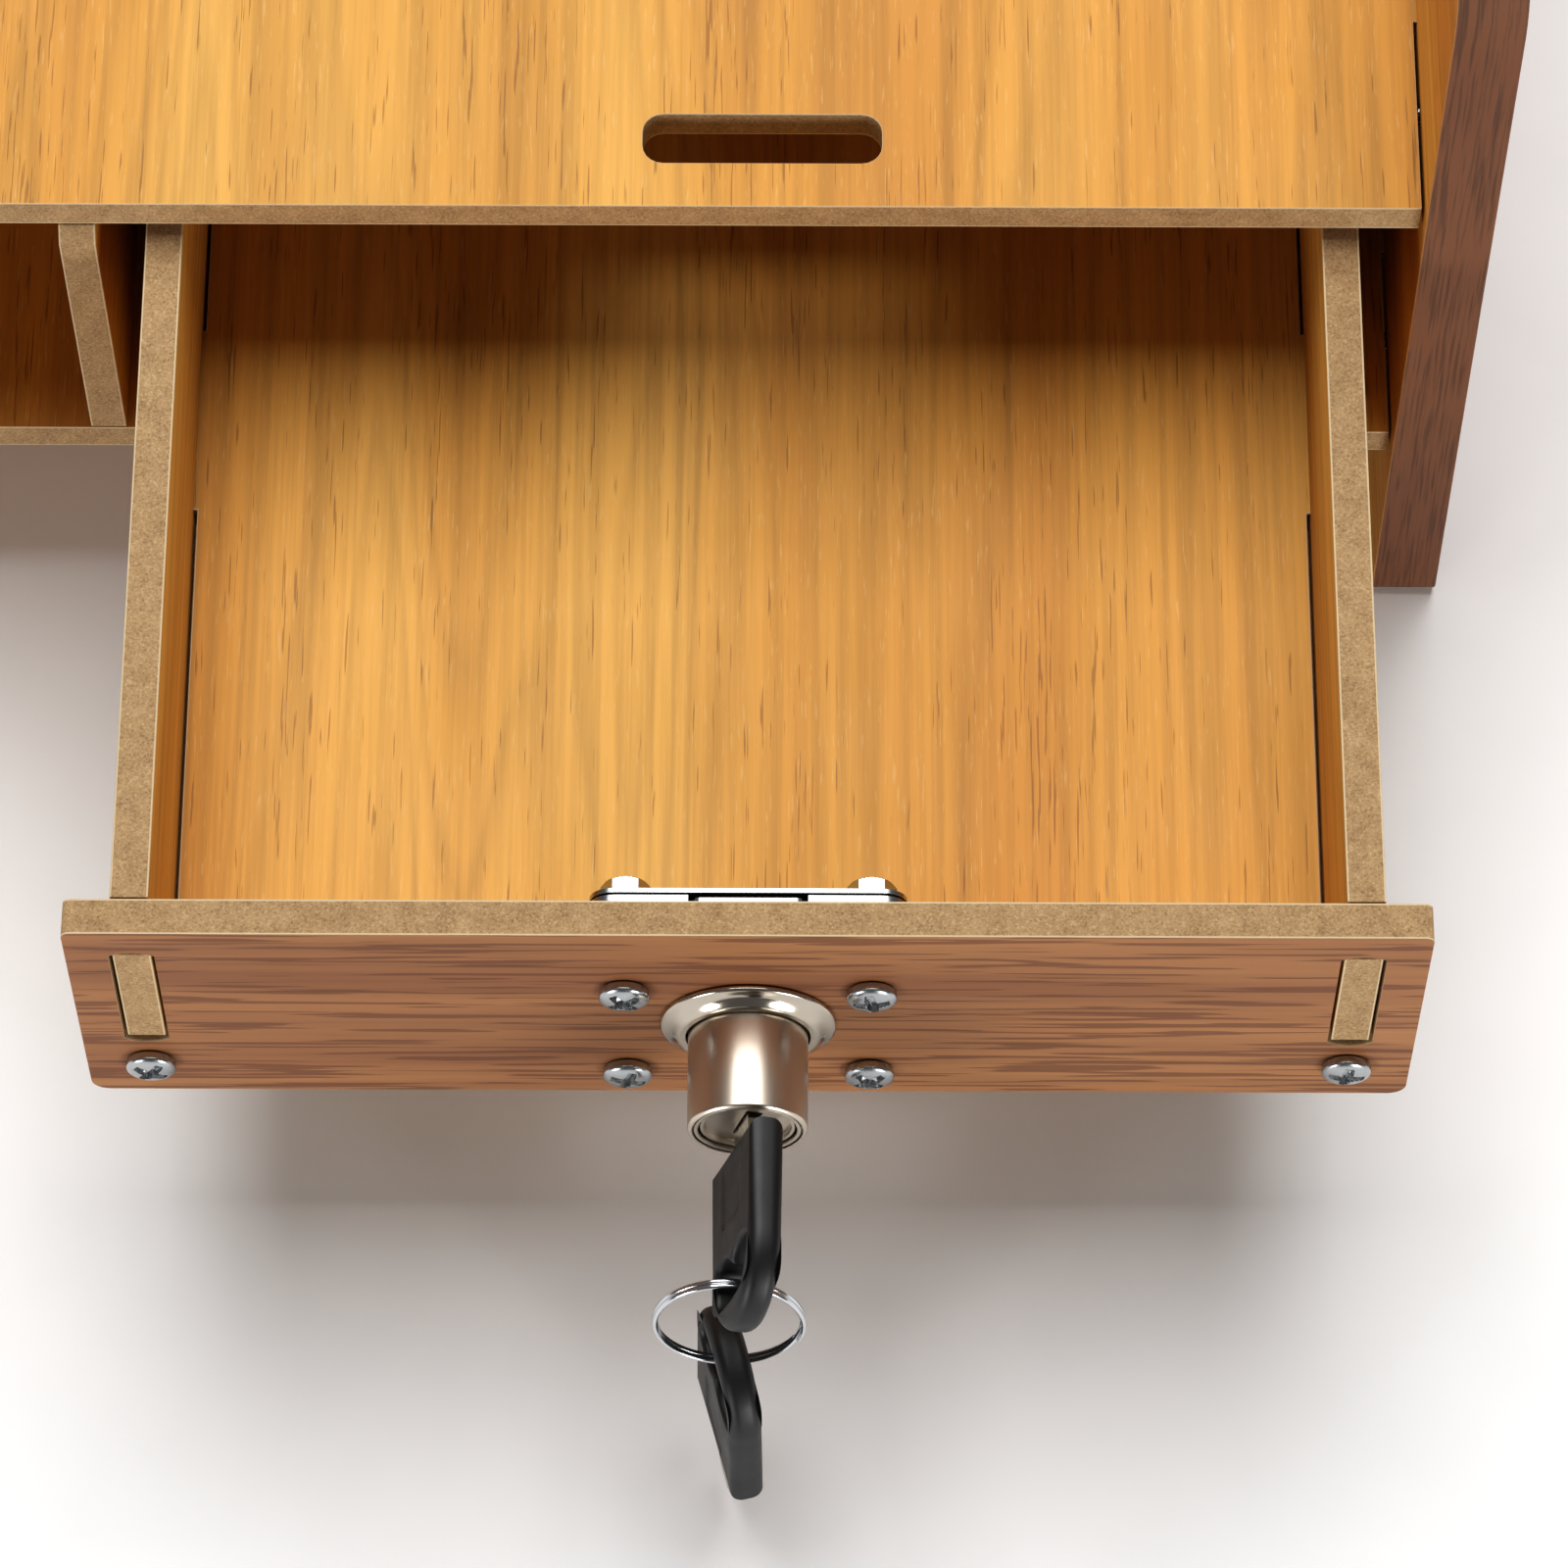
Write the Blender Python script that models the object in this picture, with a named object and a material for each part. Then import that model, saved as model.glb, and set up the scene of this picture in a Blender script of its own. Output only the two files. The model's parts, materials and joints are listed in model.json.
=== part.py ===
"""Desktop riser shelf with an inset lockable drawer, in metres, +Z up.

The riser stands on its two side panels. X runs to the right, Y to the back. The drawer stands half open, the
key is in the lock, and a split ring on the key's bow carries a spare key.
"""

from math import acos, atan2, cos, pi, radians, sin, sqrt

import bmesh
import bpy
import numpy as np
from mathutils import Matrix, Vector

MM = 0.001
GAP = 0.3 * MM                 # between pieces that touch on the real object
SEGMENTS = 32                  # sides of a round piece

# The boards
BOARD = 6.0 * MM               # laminated MDF of the shelf, the divider and the drawer
PANEL = 11.2 * MM              # side panels
WIDTH = 482.6 * MM
HEIGHT = 180.0 * MM
BAY_WIDTH = 215.3 * MM         # right-hand bay, which holds the drawer
BAY_HEIGHT = 61.3 * MM
KNEE_HEIGHT = 42.1 * MM        # free height under the bottom board
SHELF_FRONT = -25.5 * MM       # Y of the shelf's front edge
FRONT_LEAD = 2.5 * MM          # divider and bottom board stand this far ahead of the shelf
INNER_DEPTH = 230.7 * MM       # shelf's front edge to the back panel
PANEL_LEAD = 3.0 * MM          # side panel's front edge ahead of the shelf, level with its underside
PANEL_SLOPE = 0.04             # and how much further ahead it comes for each unit down
PANEL_CORNER = 15.0 * MM
FOOT_CORNER = 3.0 * MM
END_SLIT = 0.6 * MM            # open joint at the ends of the shelf and the bottom board
TENON = 6.0 * MM               # length of a tab that goes into a side panel
TENON_SPANS = ((36 * MM, 82 * MM), (150 * MM, 196 * MM))
DIVIDER_SPANS = ((60 * MM, 95 * MM), (150 * MM, 185 * MM))
DIVIDER_CHAMFER = 2.3 * MM

# The drawer, in its own frame: origin at the top of the front's back face, in the middle
FRONT_WIDTH = 212.0 * MM
FRONT_HEIGHT = 57.2 * MM
FRONT_CORNER = 3.0 * MM
PULLED = 126.2 * MM            # front face ahead of the shelf's front edge
TOP_CLEARANCE = 3.8 * MM
SIDE_OUTER = 98.7 * MM         # drawer sides' outer faces from the middle
DRAWER_LENGTH = 224.0 * MM     # behind the front
FLOOR_DEPTH = 39.7 * MM        # drawer top down to the drawer bottom's upper face
FLOOR_SLIT = 0.6 * MM
FLOOR_TAB = (91.6 * MM, 126.3 * MM)
FLOOR_NOTCH = 15.5 * MM        # room for the lock case and its nuts
FRONT_TAB = (-37.8 * MM, -8.3 * MM)
TAB_ARC = 1.1 * MM             # rise of the routed slot's rounded ends
FRONT_SCREW_Z = -46.2 * MM

# The lock
LOCK_Z = -31.0 * MM
BARREL_RADIUS = 9.5 * MM
BARREL_BORE = 7.8 * MM
BARREL_FRONT = -25.0 * MM
PLUG_RADIUS = 7.5 * MM
PLUG_FRONT = -24.4 * MM
PLUG_RIM = 0.6 * MM
ROSETTE_RADIUS = 14.0 * MM
ROSETTE_RISE = 2.6 * MM
CASE_WIDTH = 50.0 * MM
CASE_Z = (-53.0 * MM, -11.0 * MM)
CASE_DEPTH = 6.3 * MM
CASE_WALL = 1.2 * MM
CASE_CORNER = 4.0 * MM
COVER_THICKNESS = 0.8 * MM
TONGUE_WIDTH = 18.0 * MM
TONGUE_TOP = -11.4 * MM
TONGUE_LENGTH = 34.0 * MM
TONGUE_Y = (3.5 * MM, 6.5 * MM)
DRIVER_Y = (2.0 * MM, 3.1 * MM)
HUB_RADIUS = 8.8 * MM
CRANK = 15.0 * MM              # from the plug's axis to the driving pin
PIN_RADIUS = 1.5 * MM
PIN_PLAY = 0.8 * MM            # above and below the pin, in the tongue's fork
FORK_DEPTH = 3.0 * MM          # width of each prong of the fork
KEY_TILT = radians(15.5)       # the key is turned this far clockwise from upright
PIN_AT_UPRIGHT = radians(-45)  # the pin's angle above level, on the left, when the key is upright
LOCK_SCREW_X = 19.4 * MM
LOCK_SCREW_Z = (-19.6 * MM, -48.6 * MM)
SLOT_LENGTH = 38.9 * MM        # slot in the shelf that the tongue rises into
SLOT_FROM_FRONT = (8.2 * MM, 17.6 * MM)
SLOT_OFFSET = 1.6 * MM         # slot's middle to the right of the tongue's
SLOT_CORNER = 3.4 * MM

# Fasteners
M4_RADIUS = 2.0 * MM
M4_LENGTH = 20.0 * MM
NUT_FLATS = 7.0 * MM
NUT_HEIGHT = 3.2 * MM
WASHER_RADIUS = 4.5 * MM
WASHER_HEIGHT = 0.8 * MM
HEAD_RADIUS = 4.0 * MM
HEAD_HEIGHT = 2.4 * MM
WOOD_SCREW_RADIUS = 1.5 * MM
WOOD_SCREW_LENGTH = 22.0 * MM
SUNK_HEAD_RADIUS = 3.2 * MM
SUNK_HEAD_HEIGHT = 1.9 * MM

# The keys: u runs from the key's shoulder to the bow's tip, v across the bow
BOW_HALF = 12.0 * MM
BOW_START = 2.7 * MM           # the bow starts this far in front of the barrel
BOW_ARC_CENTRE = 21.1 * MM
BOW_THICKNESS = 5.4 * MM
BOW_CORNER = 1.4 * MM
EYE_CENTRE = 24.3 * MM
EYE_HALF_U = 4.1 * MM
EYE_HALF_V = 9.3 * MM
EYE_DENT = 2.6 * MM
BLADE_LENGTH = 13.0 * MM
BLADE_HEIGHT = 8.0 * MM
BLADE_THICKNESS = 2.0 * MM
RING_RADIUS = 11.6 * MM        # centre line of the wire
RING_WIRE = 0.5 * MM           # wire radius
RING_U = 23.0 * MM
RING_TILT = radians(8)
RING_PIVOT_V = -10.7 * MM      # the sway axis, in the middle of the bow's lower rim
RING_ABOVE_PIVOT = 3.4 * MM
SPARE_YAW = radians(14.5)
SPARE_LEAN = radians(8)
EYE_ABOVE_WIRE = 1.1 * MM

# Places that follow
BOTTOM_Z = (KNEE_HEIGHT, KNEE_HEIGHT + BOARD)
SHELF_Z = (BOTTOM_Z[1] + BAY_HEIGHT, BOTTOM_Z[1] + BAY_HEIGHT + BOARD)
INNER_X = WIDTH / 2 - PANEL
BAY_X = (INNER_X - BAY_WIDTH, INNER_X)
DIVIDER_X = (BAY_X[0] - BOARD, BAY_X[0])
DRAWER = Vector((BAY_X[0] + 0.6 * MM + FRONT_WIDTH / 2, SHELF_FRONT - PULLED + BOARD, SHELF_Z[0] - TOP_CLEARANCE))
LOCK = DRAWER + Vector((0, 0, LOCK_Z))


def clear_scene():
    for obj in list(bpy.data.objects):
        bpy.data.objects.remove(obj, do_unlink=True)


def material(name, colour, roughness, metallic=0.0):
    made = bpy.data.materials.new(name)
    made.use_nodes = True
    shader = made.node_tree.nodes["Principled BSDF"]
    shader.inputs["Base Color"].default_value = (*colour, 1)
    shader.inputs["Roughness"].default_value = roughness
    shader.inputs["Metallic"].default_value = metallic
    return made


def finish(name, mesh, surface, smooth=False):
    """One scene object from a bmesh, with its faces turned outwards."""
    bmesh.ops.remove_doubles(mesh, verts=mesh.verts, dist=1e-7)
    bmesh.ops.recalc_face_normals(mesh, faces=mesh.faces)
    data = bpy.data.meshes.new(name)
    mesh.to_mesh(data)
    mesh.free()
    data.materials.append(surface)
    if smooth:
        data.shade_smooth()
        data.set_sharp_from_angle(angle=radians(35))
    obj = bpy.data.objects.new(name, data)
    bpy.context.scene.collection.objects.link(obj)
    return obj


def prism(name, outline, low, high, axis, surface):
    """An outline in the plane across axis, drawn out from low to high along it.

    Across X the outline is (y, z), across Y it is (x, z), across Z it is (x, y).
    """
    mesh = bmesh.new()
    spread = {"X": lambda a, b: (low, a, b), "Y": lambda a, b: (a, low, b), "Z": lambda a, b: (a, b, low)}[axis]
    base = mesh.faces.new([mesh.verts.new(spread(a, b)) for a, b in outline])
    moved = bmesh.ops.extrude_face_region(mesh, geom=[base])["geom"]
    step = Vector([high - low if axis == name_ else 0 for name_ in "XYZ"])
    bmesh.ops.translate(mesh, vec=step, verts=[v for v in moved if isinstance(v, bmesh.types.BMVert)])
    return finish(name, mesh, surface)


def rectangle(x, y):
    return [(x[0], y[0]), (x[1], y[0]), (x[1], y[1]), (x[0], y[1])]


def box(name, x, y, z, surface):
    return prism(name, rectangle(x, y), z[0], z[1], "Z", surface)


def rounded(outline, radii, steps=6):
    """The outline with each corner replaced by an arc of its radius, 0 for a sharp corner."""
    out = []
    for k, (corner, radius) in enumerate(zip(outline, radii)):
        here = Vector(corner)
        before = (Vector(outline[k - 1]) - here).normalized()
        after = (Vector(outline[(k + 1) % len(outline)]) - here).normalized()
        if radius == 0:
            out.append(tuple(here))
            continue
        half = before.angle(after) / 2
        centre = here + (before + after).normalized() * radius / sin(half)
        start = here + before * radius * cos(half) / sin(half) - centre
        end = here + after * radius * cos(half) / sin(half) - centre
        sweep = start.angle_signed(end)
        for i in range(steps + 1):
            out.append(tuple(centre + Matrix.Rotation(-sweep * i / steps, 2) @ start))
    return out


def cut(target, cutter):
    """Takes the cutter out of the target, and keeps it as a hidden guide."""
    cutter.hide_render = True
    cutter.display_type = "WIRE"
    modifier = target.modifiers.new("cut_" + cutter.name, "BOOLEAN")
    modifier.operation = "DIFFERENCE"
    modifier.object = cutter


def lathe(name, profile, surface, segments=SEGMENTS):
    """A turned piece about +Z. The profile is (radius, height), and closes on itself or on the axis."""
    mesh = bmesh.new()
    points = [mesh.verts.new((r, 0, h)) for r, h in profile]
    edges = [mesh.edges.new(pair) for pair in zip(points, points[1:])]
    if profile[0][0] > 0:
        edges.append(mesh.edges.new((points[-1], points[0])))
    bmesh.ops.spin(mesh, geom=points + edges, cent=(0, 0, 0), axis=(0, 0, 1), angle=2 * pi, steps=segments,
                   use_merge=True)
    return finish(name, mesh, surface, smooth=True)


def hole(target, centre, radius, length, axis):
    """A round hole of this length, centred here, along an axis."""
    cutter = lathe(target.name + "_hole", [(0, -length / 2), (radius, -length / 2), (radius, length / 2),
                                           (0, length / 2)], GUIDE, 24)
    cutter.matrix_world = Matrix.Translation(centre) @ along(axis)
    cut(target, cutter)


def along(axis):
    """The turn that takes +Z to this axis."""
    return Vector((0, 0, 1)).rotation_difference(Vector(axis)).to_matrix().to_4x4()


def comb(width, front, back, spans, tenon):
    """A board seen from above, with tabs on both ends. Spans are measured back from the board's front edge."""
    right = [(width, front)]
    for low, high in spans:
        right += [(width, front + low), (width + tenon, front + low), (width + tenon, front + high),
                  (width, front + high)]
    right.append((width, back))
    left = [(-x, y) for x, y in reversed(right)]
    return right + left


# ---------------------------------------------------------------- the carcass

def panel_front(z):
    """Y of a side panel's front edge at height z."""
    return SHELF_FRONT - PANEL_LEAD - PANEL_SLOPE * (SHELF_Z[0] - z)


def side_panel(side):
    name = "side_panel_right" if side > 0 else "side_panel_left"
    back = SHELF_FRONT + INNER_DEPTH + BOARD + 1 * MM
    outline = rounded(
        [(panel_front(0), 0), (back, 0), (back, HEIGHT), (panel_front(HEIGHT), HEIGHT)],
        [FOOT_CORNER, FOOT_CORNER, PANEL_CORNER, PANEL_CORNER], 8)
    low, high = sorted((side * INNER_X, side * WIDTH / 2))
    panel = prism(name, outline, low, high, "X", LAMINATE)
    x = sorted((side * (INNER_X - 1 * MM), side * (INNER_X + TENON + GAP)))
    for board, z in (("shelf", SHELF_Z), ("bottom", BOTTOM_Z)):
        lead = 0 if board == "shelf" else FRONT_LEAD
        for low, high in TENON_SPANS:
            front = SHELF_FRONT - lead
            cut(panel, box(f"{name}_{board}_mortise", x, (front + low - GAP, front + high + GAP),
                           (z[0] - GAP, z[1] + GAP), GUIDE))
        for y in carcass_screw_places(lead):
            centre = Vector((side * (INNER_X + PANEL / 2), y, sum(z) / 2))
            hole(panel, centre, WOOD_SCREW_RADIUS + GAP, 2 * PANEL, (1, 0, 0))
            sink = sunk_cutter(name + "_sink")
            sink.matrix_world = Matrix.Translation((side * WIDTH / 2, y, sum(z) / 2)) @ along((side, 0, 0))
            cut(panel, sink)
    back_y = (SHELF_FRONT + INNER_DEPTH, SHELF_FRONT + INNER_DEPTH + BOARD)
    for z in back_tab_spans():
        cut(panel, box(name + "_back_mortise", x, (back_y[0] - GAP, back_y[1] + GAP), (z[0] - GAP, z[1] + GAP),
                       GUIDE))
    return panel


def carcass_screw_places(lead):
    """Y of the two screws that hold each end of the shelf and of the bottom board."""
    front = SHELF_FRONT - lead
    return (front + 20 * MM, front + 116 * MM)


def sunk_cutter(name):
    """Countersink for a screw head about +Z: the panel's face is at 0."""
    top, low = SUNK_HEAD_RADIUS + GAP, -SUNK_HEAD_HEIGHT - GAP
    return lathe(name, [(0, 1 * MM), (top, 1 * MM), (top, 0), (WOOD_SCREW_RADIUS + GAP, low), (0, low)], GUIDE, 24)


def back_tab_spans():
    middle = (BOTTOM_Z[0] + SHELF_Z[1]) / 2
    return ((middle - 12 * MM, middle + 12 * MM),)


def carcass_board(name, z, lead):
    """The shelf or the bottom board: full width, tabs in the side panels, open slits before its tabs."""
    outline = comb(INNER_X - END_SLIT, SHELF_FRONT - lead, SHELF_FRONT + INNER_DEPTH - GAP, TENON_SPANS,
                   TENON + END_SLIT)
    board = prism(name, outline, z[0], z[1], "Z", LAMINATE)
    for low, high in DIVIDER_SPANS:
        cut(board, box(name + "_divider_mortise", (DIVIDER_X[0] - GAP, DIVIDER_X[1] + GAP),
                       (SHELF_FRONT + low - GAP, SHELF_FRONT + high + GAP), (z[0] - 1 * MM, z[1] + 1 * MM), GUIDE))
    for side in (-1, 1):
        for y in carcass_screw_places(lead):
            hole(board, Vector((side * INNER_X, y, sum(z) / 2)), WOOD_SCREW_RADIUS + GAP, 26 * MM, (1, 0, 0))
    return board


def shelf_board():
    board = carcass_board("shelf_board", SHELF_Z, 0)
    y = [SHELF_FRONT + edge for edge in SLOT_FROM_FRONT]
    centre = DRAWER.x + SLOT_OFFSET
    x = [centre - SLOT_LENGTH / 2, centre + SLOT_LENGTH / 2]
    outline = rounded(rectangle(x, y), [SLOT_CORNER] * 4, 5)
    cut(board, prism("shelf_slot", outline, SHELF_Z[0] - 1 * MM, SHELF_Z[1] + 1 * MM, "Z", GUIDE))
    return board


def divider():
    front = SHELF_FRONT - FRONT_LEAD
    back = SHELF_FRONT + INNER_DEPTH - GAP
    low, high = BOTTOM_Z[1] + GAP, SHELF_Z[0] - GAP
    top, bottom = SHELF_Z[1], BOTTOM_Z[0]
    outline = [(front, low)]
    for a, b in DIVIDER_SPANS:
        a, b = SHELF_FRONT + a, SHELF_FRONT + b
        outline += [(a, low), (a, bottom), (b, bottom), (b, low)]
    outline += [(back, low), (back, high)]
    for a, b in reversed(DIVIDER_SPANS):
        a, b = SHELF_FRONT + a, SHELF_FRONT + b
        outline += [(b, high), (b, top), (a, top), (a, high)]
    outline += [(front + DIVIDER_CHAMFER, high), (front, high - DIVIDER_CHAMFER)]
    return prism("divider", outline, DIVIDER_X[0], DIVIDER_X[1], "X", LAMINATE)


def back_panel():
    y = (SHELF_FRONT + INNER_DEPTH, SHELF_FRONT + INNER_DEPTH + BOARD)
    half = INNER_X - GAP
    right = [(half, BOTTOM_Z[0])]
    for low, high in back_tab_spans():
        right += [(half, low), (half + TENON, low), (half + TENON, high), (half, high)]
    right.append((half, SHELF_Z[1]))
    outline = right + [(-x, z) for x, z in reversed(right)]
    return prism("back_panel", outline, y[0], y[1], "Y", LAMINATE)


# ---------------------------------------------------------------- the drawer

def tab_slot(side):
    """Outline, in (x, z), of the routed slot in the drawer front: straight sides, arched ends."""
    x = DRAWER.x + side * (SIDE_OUTER - BOARD / 2)
    half = BOARD / 2 + 0.6 * MM
    low, high = DRAWER.z + FRONT_TAB[0] - GAP, DRAWER.z + FRONT_TAB[1] + GAP
    steps = [half * (1 - 2 * i / 6) for i in range(7)]
    arch = [(x + s, TAB_ARC * (1 - (s / half) ** 2)) for s in steps]
    return [(a, high + rise) for a, rise in arch] + [(a, low - rise) for a, rise in reversed(arch)]


def drawer_front():
    x = (DRAWER.x - FRONT_WIDTH / 2, DRAWER.x + FRONT_WIDTH / 2)
    z = (DRAWER.z - FRONT_HEIGHT, DRAWER.z)
    outline = rounded(rectangle(x, z), [FRONT_CORNER, FRONT_CORNER, 1.5 * MM, 1.5 * MM])
    front = prism("drawer_front", outline, DRAWER.y - BOARD, DRAWER.y, "Y", FRONT_LAMINATE)
    for side in (-1, 1):
        cut(front, prism("front_slot", tab_slot(side), DRAWER.y - BOARD - 1 * MM, DRAWER.y + 1 * MM, "Y", GUIDE))
        place = DRAWER + Vector((side * (SIDE_OUTER - BOARD / 2), -BOARD / 2, FRONT_SCREW_Z))
        hole(front, place, WOOD_SCREW_RADIUS + GAP, 2 * BOARD, (0, 1, 0))
    hole(front, LOCK + Vector((0, -BOARD / 2, 0)), BARREL_RADIUS + GAP, 2 * BOARD, (0, 1, 0))
    for place in lock_screw_places():
        hole(front, place + Vector((0, -BOARD / 2, 0)), M4_RADIUS + GAP, 2 * BOARD, (0, 1, 0))
    return front


def drawer_side(side):
    """A side board: a tab through the front, the floor's tab through it, and the back between the two."""
    name = "drawer_side_right" if side > 0 else "drawer_side_left"
    x = sorted((DRAWER.x + side * SIDE_OUTER, DRAWER.x + side * (SIDE_OUTER - BOARD)))
    y0, y1 = DRAWER.y + GAP, DRAWER.y + DRAWER_LENGTH
    z0, z1 = DRAWER.z - FRONT_HEIGHT, DRAWER.z
    tab = (DRAWER.z + FRONT_TAB[0], DRAWER.z + FRONT_TAB[1])
    tip = DRAWER.y - BOARD + 0.4 * MM
    outline = [(y0, z0), (y1, z0), (y1, z1), (y0, z1), (y0, tab[1]), (tip, tab[1]), (tip, tab[0]), (y0, tab[0])]
    board = prism(name, outline, x[0], x[1], "X", LAMINATE)
    floor = (DRAWER.z - FLOOR_DEPTH - BOARD - GAP, DRAWER.z - FLOOR_DEPTH + GAP)
    through = (x[0] - 1 * MM, x[1] + 1 * MM)
    cut(board, box(name + "_floor_mortise", through, [DRAWER.y + FLOOR_TAB[0] - GAP, DRAWER.y + FLOOR_TAB[1] + GAP],
                   floor, GUIDE))
    back = back_place()
    for z in drawer_back_tabs():
        cut(board, box(name + "_back_mortise", through, (back[0] - GAP, back[1] + GAP), (z[0] - GAP, z[1] + GAP),
                       GUIDE))
    place = DRAWER + Vector((side * (SIDE_OUTER - BOARD / 2), 10 * MM, FRONT_SCREW_Z))
    hole(board, place, WOOD_SCREW_RADIUS + GAP, 24 * MM, (0, 1, 0))
    return board


def back_place():
    """Front and rear Y of the drawer's back."""
    return (DRAWER.y + DRAWER_LENGTH - BOARD - 2 * MM, DRAWER.y + DRAWER_LENGTH - 2 * MM)


def drawer_back_tabs():
    return ((DRAWER.z - 50 * MM, DRAWER.z - 36 * MM), (DRAWER.z - 22 * MM, DRAWER.z - 8 * MM))


def drawer_bottom():
    """The drawer's floor, with a notch in its front edge for the lock case and its nuts."""
    half = SIDE_OUTER - BOARD - FLOOR_SLIT
    front, back = DRAWER.y + GAP, back_place()[0] - GAP
    notch = (CASE_WIDTH / 2 + 0.8 * MM, DRAWER.y + FLOOR_NOTCH)
    right = [notch, (notch[0], front), (half, front)]
    low, high = (DRAWER.y + edge for edge in FLOOR_TAB)
    right += [(half, low), (SIDE_OUTER, low), (SIDE_OUTER, high), (half, high), (half, back)]
    outline = [(DRAWER.x + x, y) for x, y in right] + [(DRAWER.x - x, y) for x, y in reversed(right)]
    z = (DRAWER.z - FLOOR_DEPTH - BOARD, DRAWER.z - FLOOR_DEPTH)
    return prism("drawer_bottom", outline, z[0], z[1], "Z", LAMINATE)


def drawer_back():
    half = SIDE_OUTER - BOARD - GAP
    right = [(half, DRAWER.z - FRONT_HEIGHT)]
    for low, high in drawer_back_tabs():
        right += [(half, low), (SIDE_OUTER, low), (SIDE_OUTER, high), (half, high)]
    right.append((half, DRAWER.z))
    outline = [(DRAWER.x + x, z) for x, z in right] + [(DRAWER.x - x, z) for x, z in reversed(right)]
    return prism("drawer_back", outline, back_place()[0], back_place()[1], "Y", LAMINATE)


# ---------------------------------------------------------------- fasteners

def pan_profile(shank, length, tip):
    """Pan-head screw about +Z: head outwards from 0, shank below it, its end drawn in by tip."""
    dome = [(HEAD_RADIUS * sin(a), HEAD_HEIGHT * (0.45 + 0.55 * cos(a)))
            for a in (pi / 2 * i / 6 for i in range(7))]
    return dome + [(HEAD_RADIUS, 0), (shank, 0), (shank, tip - length), (shank * 0.4, -length), (0, -length)]


def recess(screw, centre, out):
    """A cross recess in a screw head: two crossed slots whose axis points out of the head."""
    for k, turn in enumerate((0, pi / 2)):
        slot = box(f"{screw.name}_recess_{k}", (-2.1 * MM, 2.1 * MM), (-0.45 * MM, 0.45 * MM),
                   (HEAD_HEIGHT - 1.4 * MM, HEAD_HEIGHT + 1 * MM), GUIDE)
        slot.matrix_world = Matrix.Translation(centre) @ along(out) @ Matrix.Rotation(turn + pi / 5, 4, "Z")
        cut(screw, slot)


def pan_screw(name, seat, out, shank, length, tip):
    screw = lathe(name, pan_profile(shank, length, tip), ZINC, 24)
    screw.matrix_world = Matrix.Translation(seat) @ along(out)
    recess(screw, seat, out)
    return screw


def lock_screw_places():
    """Where the four lock screws' axes cross the drawer front's back face."""
    return [DRAWER + Vector((x, 0, z)) for z in LOCK_SCREW_Z for x in (-LOCK_SCREW_X, LOCK_SCREW_X)]


def lock_fasteners():
    for k, place in enumerate(lock_screw_places(), 1):
        pan_screw(f"lock_screw_{k}", place + Vector((0, -BOARD - GAP, 0)), (0, -1, 0), M4_RADIUS, M4_LENGTH,
                  0.6 * MM)
        washer_y = CASE_DEPTH + COVER_THICKNESS + 3 * GAP
        washer = lathe(f"lock_washer_{k}", [(M4_RADIUS + GAP, 0), (WASHER_RADIUS, 0), (WASHER_RADIUS, WASHER_HEIGHT),
                                            (M4_RADIUS + GAP, WASHER_HEIGHT)], ZINC, 24)
        washer.matrix_world = Matrix.Translation(place + Vector((0, washer_y, 0))) @ along((0, 1, 0))
        nut(f"lock_nut_{k}", place + Vector((0, washer_y + WASHER_HEIGHT + GAP, 0)))


def nut(name, place):
    """Hexagon nut with its flats up and down, its axis along Y."""
    corner = NUT_FLATS / sqrt(3)
    outline = [(place.x + corner * cos(pi / 3 * k), place.z + corner * sin(pi / 3 * k)) for k in range(6)]
    body = prism(name, outline, place.y, place.y + NUT_HEIGHT, "Y", ZINC)
    hole(body, place + Vector((0, NUT_HEIGHT / 2, 0)), M4_RADIUS + GAP, 2 * NUT_HEIGHT, (0, 1, 0))


def carcass_screws():
    """Countersunk screws through the side panels into the ends of the boards."""
    head = [(0, 0), (SUNK_HEAD_RADIUS, 0), (WOOD_SCREW_RADIUS, -SUNK_HEAD_HEIGHT)]
    profile = head + [(WOOD_SCREW_RADIUS, -WOOD_SCREW_LENGTH + 3 * MM), (0, -WOOD_SCREW_LENGTH)]
    count = 0
    for side in (-1, 1):
        for z, lead in ((BOTTOM_Z, FRONT_LEAD), (SHELF_Z, 0)):
            for y in carcass_screw_places(lead):
                count += 1
                screw = lathe(f"side_screw_{count}", profile, ZINC, 20)
                screw.matrix_world = Matrix.Translation((side * WIDTH / 2, y, sum(z) / 2)) @ along((side, 0, 0))


# ---------------------------------------------------------------- the lock

def case_outline(wall=0.0):
    """Outline of the lock case in (x, z), drawn in by a wall's thickness."""
    x = (DRAWER.x - CASE_WIDTH / 2 + wall, DRAWER.x + CASE_WIDTH / 2 - wall)
    z = (DRAWER.z + CASE_Z[0] + wall, DRAWER.z + CASE_Z[1] - wall)
    return rounded(rectangle(x, z), [CASE_CORNER - wall] * 4)


def drill_for_screws(plate, depth):
    for place in lock_screw_places():
        hole(plate, place + Vector((0, depth / 2, 0)), M4_RADIUS + GAP, 2 * depth + 2 * MM, (0, 1, 0))


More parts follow.
